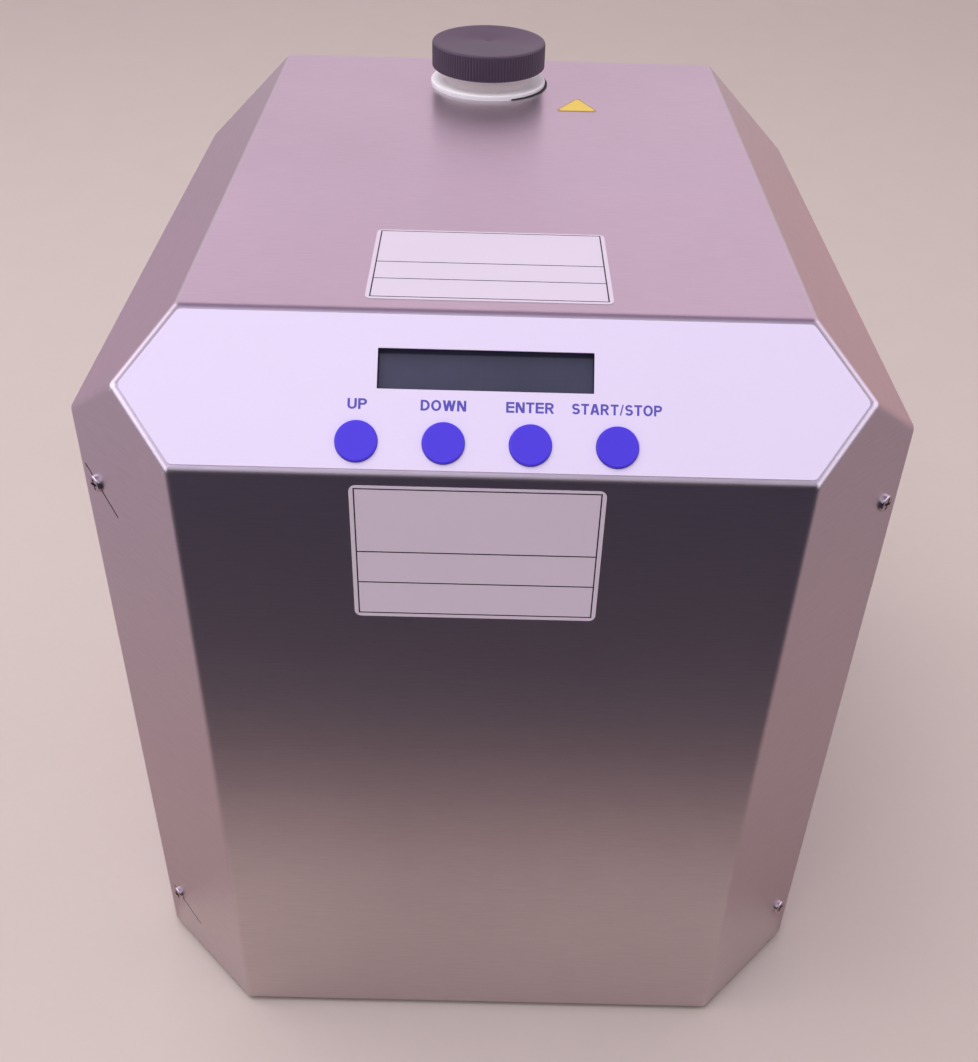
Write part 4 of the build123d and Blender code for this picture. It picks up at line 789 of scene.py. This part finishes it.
def screws(name, node, places, radius, height, spin):
    """Screw heads that stand for a CAD node of screws, of which only the heads show outside the sheet."""
    flat = radius - height * 0.6
    depth = height * 0.5
    crossed = flat_shape([circle(0, 0, flat, 48), cross_outline(flat * 0.86, flat * 0.2)], depth)
    top = ([v.co / MM for v in crossed.vertices], [list(f.vertices) for f in crossed.polygons])
    heads, shade_floors = [], []
    for index, matrix in enumerate(places):
        turn = Matrix.Rotation(spin + SCREW_TURN * index, 4, "Z")
        turned = matrix @ Matrix.Translation((0, 0, height - depth)) @ turn
        heads.append(moved(lathe(screw_head(radius, height), 48), matrix))
        heads.append(moved(top, turned))
        # A dark slab on the floor of each cross recess: painted shade
        shade_floors.append(moved(slab(-flat * 0.7, -flat * 0.7, flat * 0.7, flat * 0.7, 0.02), turned))
    points, faces = joined(heads)
    piece(name, points, faces, zinc, "casing", replaces=[node])
    points, faces = joined(shade_floors)
    piece(name + "_recess_shade", points, faces, recess_painted_shade, "casing")


def on_face(origin, x_dir, z_dir):
    """A matrix in millimetres for a place on a face."""
    x = Vector(x_dir).normalized()
    z = Vector(z_dir).normalized()
    y = z.cross(x)
    return Matrix((
        (x.x, y.x, z.x, origin[0]), (x.y, y.y, z.y, origin[1]), (x.z, y.z, z.z, origin[2]), (0, 0, 0, 1)
    ))


HALF = 136.5
CHAMFER = 39.5
EDGE = 8.8 / math.sqrt(2)
FRONT_SCREW_ZS = (28.0, 245.0)
SIDE_SCREW_ZS = (45.0, 150.0, 255.0)
SIDE_SCREW_Y = 121.5
FAN_X = 62.0
FAN_Z = 167.0
FAN_SCREWS = (-52.5, 52.5)
front_places, side_places, fan_places = [], [], []
for sign in (-1, 1):
    for z in FRONT_SCREW_ZS:
        spot = (sign * (HALF - EDGE), FRONT_Y + CHAMFER - EDGE, z)
        front_places.append(on_face(spot, (1, sign, 0), (sign, -1, 0)))
    for z in SIDE_SCREW_ZS:
        side_places.append(on_face((sign * HALF, SIDE_SCREW_Y, z), (0, sign, 0), (sign, 0, 0)))
    for x in FAN_SCREWS:
        for z in FAN_SCREWS:
            fan_places.append(on_face((sign * FAN_X + x, BACK_Y, FAN_Z + z), (-1, 0, 0), (0, 1, 0)))
screws("front_screw_heads", "front_cover_screws", front_places, 3.1, 1.3, 0.5)
screws("side_screw_heads", "side_cover_screws", side_places, 3.2, 1.4, 0.2)
screws("fan_screw_heads", "fan_screws", fan_places, 4.0, 1.4, 0.9)

# Camera: its focal length in the pixels of a picture 1062 high, its place in millimetres, its angles
FOCAL_PIXELS = 1248.189
PICTURE_HEIGHT = 1062
SENSOR = 36.0
CAMERA_PLACE = (-2.851, -462.193, 483.743)
YAW, PITCH, ROLL = (math.radians(a) for a in (0.414, 37.034, 1.663))
camera = bpy.data.cameras.new("camera")
camera.sensor_width = SENSOR
camera.lens = FOCAL_PIXELS * SENSOR / PICTURE_HEIGHT
camera.clip_start = 0.01
camera.clip_end = 50.0
camera_object = bpy.data.objects.new("camera", camera)
bpy.context.scene.collection.objects.link(camera_object)
bpy.context.scene.camera = camera_object
ahead = Vector((math.sin(YAW) * math.cos(PITCH), math.cos(YAW) * math.cos(PITCH), -math.sin(PITCH)))
level = Vector((math.cos(YAW), -math.sin(YAW), 0))
upright = level.cross(ahead)
right = math.cos(ROLL) * level + math.sin(ROLL) * upright
up = math.cos(ROLL) * upright - math.sin(ROLL) * level
facing = Matrix((right, up, -ahead)).transposed().to_4x4()
camera_object.matrix_world = shift(*CAMERA_PLACE) @ facing

# Floor, cards that only glossy reflections see, world and lamp
floor_mesh = bpy.data.meshes.new("floor")
floor_mesh.from_pydata([(-6, -6, 0), (6, -6, 0), (6, 6, 0), (-6, 6, 0)], [], [(0, 1, 2, 3)])
floor = bpy.data.objects.new("floor", floor_mesh)
bpy.context.scene.collection.objects.link(floor)
floor_paper = plastic("floor_paper", srgb(214, 201, 194), 0.8, grain=300.0, bump=0.05, spread=0.015)
floor_mesh.materials.append(floor_paper)


def card(name, corners, colour, strength=0.0):
    """A studio card that only glossy reflections see. With a strength it glows evenly."""
    mesh = bpy.data.meshes.new(name)
    mesh.from_pydata(corners, [], [(0, 1, 2, 3)])
    made = bpy.data.objects.new(name, mesh)
    bpy.context.scene.collection.objects.link(made)
    finish = Shader(name, Roughness=0.9, Base_Color=colour)
    if strength:
        finish.set("Base Color", (0, 0, 0, 1)).set("Emission Color", colour)
        finish.set("Emission Strength", strength)
    mesh.materials.append(finish.material)
    made.visible_camera = False
    made.visible_diffuse = False
    made.visible_shadow = False
    made.visible_transmission = False
    return finish


def level_patch(x0, y0, x1, y1, z):
    """Corners of a level rectangle at a height."""
    return [(x0, y0, z), (x1, y0, z), (x1, y1, z), (x0, y1, z)]


# Warm paper round the object: greyer beside it, violet behind on the left, pinker on the right
paper = card("paper_card", level_patch(-3.0, -0.8, 3.0, 3.0, 0.001), srgb(174, 150, 144))
spot = paper.add("ShaderNodeSeparateXYZ", Vector=paper.place).outputs
rightward = paper.ramp(spot["X"], -0.1, 0.1)
beside = paper.blend(rightward, srgb(168, 149, 158), srgb(161, 139, 142))
behind = paper.blend(rightward, srgb(190, 158, 178), srgb(212, 168, 160))
around = paper.blend(paper.ramp(paper.math("ABSOLUTE", spot["X"]), 0.2, 0.5), srgb(174, 150, 144), beside)
paper.set("Base Color", paper.blend(paper.ramp(spot["Y"], 0.2, 0.8), around, behind))
card("near_card", level_patch(-0.15, -0.24, 0.15, -0.12, 0.0015), srgb(198, 180, 170))
dark = srgb(32, 28, 50)
card("dark_card", level_patch(-1.5, -1.6, 1.5, -0.285, 0.002), dark)
card("dark_wall", [(-1.5, -1.6, 0.0), (1.5, -1.6, 0.0), (1.5, -1.6, 0.9), (-1.5, -1.6, 0.9)], dark)
card("ceiling_card", level_patch(-0.8, -0.5, 0.8, 0.42, 1.5), srgb(176, 142, 189), 0.55)
back_wall = [(-2.5, 1.2, 0.55), (2.5, 1.2, 0.55), (2.5, 0.6, 2.4), (-2.5, 0.6, 2.4)]
card("back_card", back_wall, srgb(234, 207, 229), 1.05)
for side, strength in ((-1, 2.1), (1, 1.6)):
    foot, head = side * 1.5, side * 1.2
    wall = [(foot, -1.3, 0.35), (foot, 0.5, 0.35), (head, 0.5, 1.4), (head, -1.3, 1.4)]
    card(f"window_card_{side + 1}", wall, srgb(240, 232, 255), strength)
# Over the camera, brighter to the left
window = card("front_card", level_patch(-1.5, -1.8, 1.5, -0.6, 1.5), srgb(228, 220, 248), 1.0)
across = window.add("ShaderNodeSeparateXYZ", Vector=window.place).outputs["X"]
window.set("Emission Strength", window.ramp(across, -0.5, 0.5, 1.3, 0.85))

world = bpy.data.worlds.new("world")
bpy.context.scene.world = world
world.use_nodes = True
background = world.node_tree.nodes["Background"]
background.inputs["Color"].default_value = srgb(226, 218, 224)
background.inputs["Strength"].default_value = 0.85

lamp = bpy.data.lights.new("softbox", "AREA")
lamp.shape = "RECTANGLE"
lamp.size = 1.6
lamp.size_y = 1.2
lamp.energy = 16.0
softbox = bpy.data.objects.new("softbox", lamp)
softbox.visible_glossy = False
bpy.context.scene.collection.objects.link(softbox)
softbox.location = (-0.5, -0.2, 1.8)
softbox.rotation_mode = "QUATERNION"
softbox.rotation_quaternion = (Vector((0, 0, 0.1)) - softbox.location).to_track_quat("-Z", "Y")

bpy.context.scene.view_settings.view_transform = "Standard"
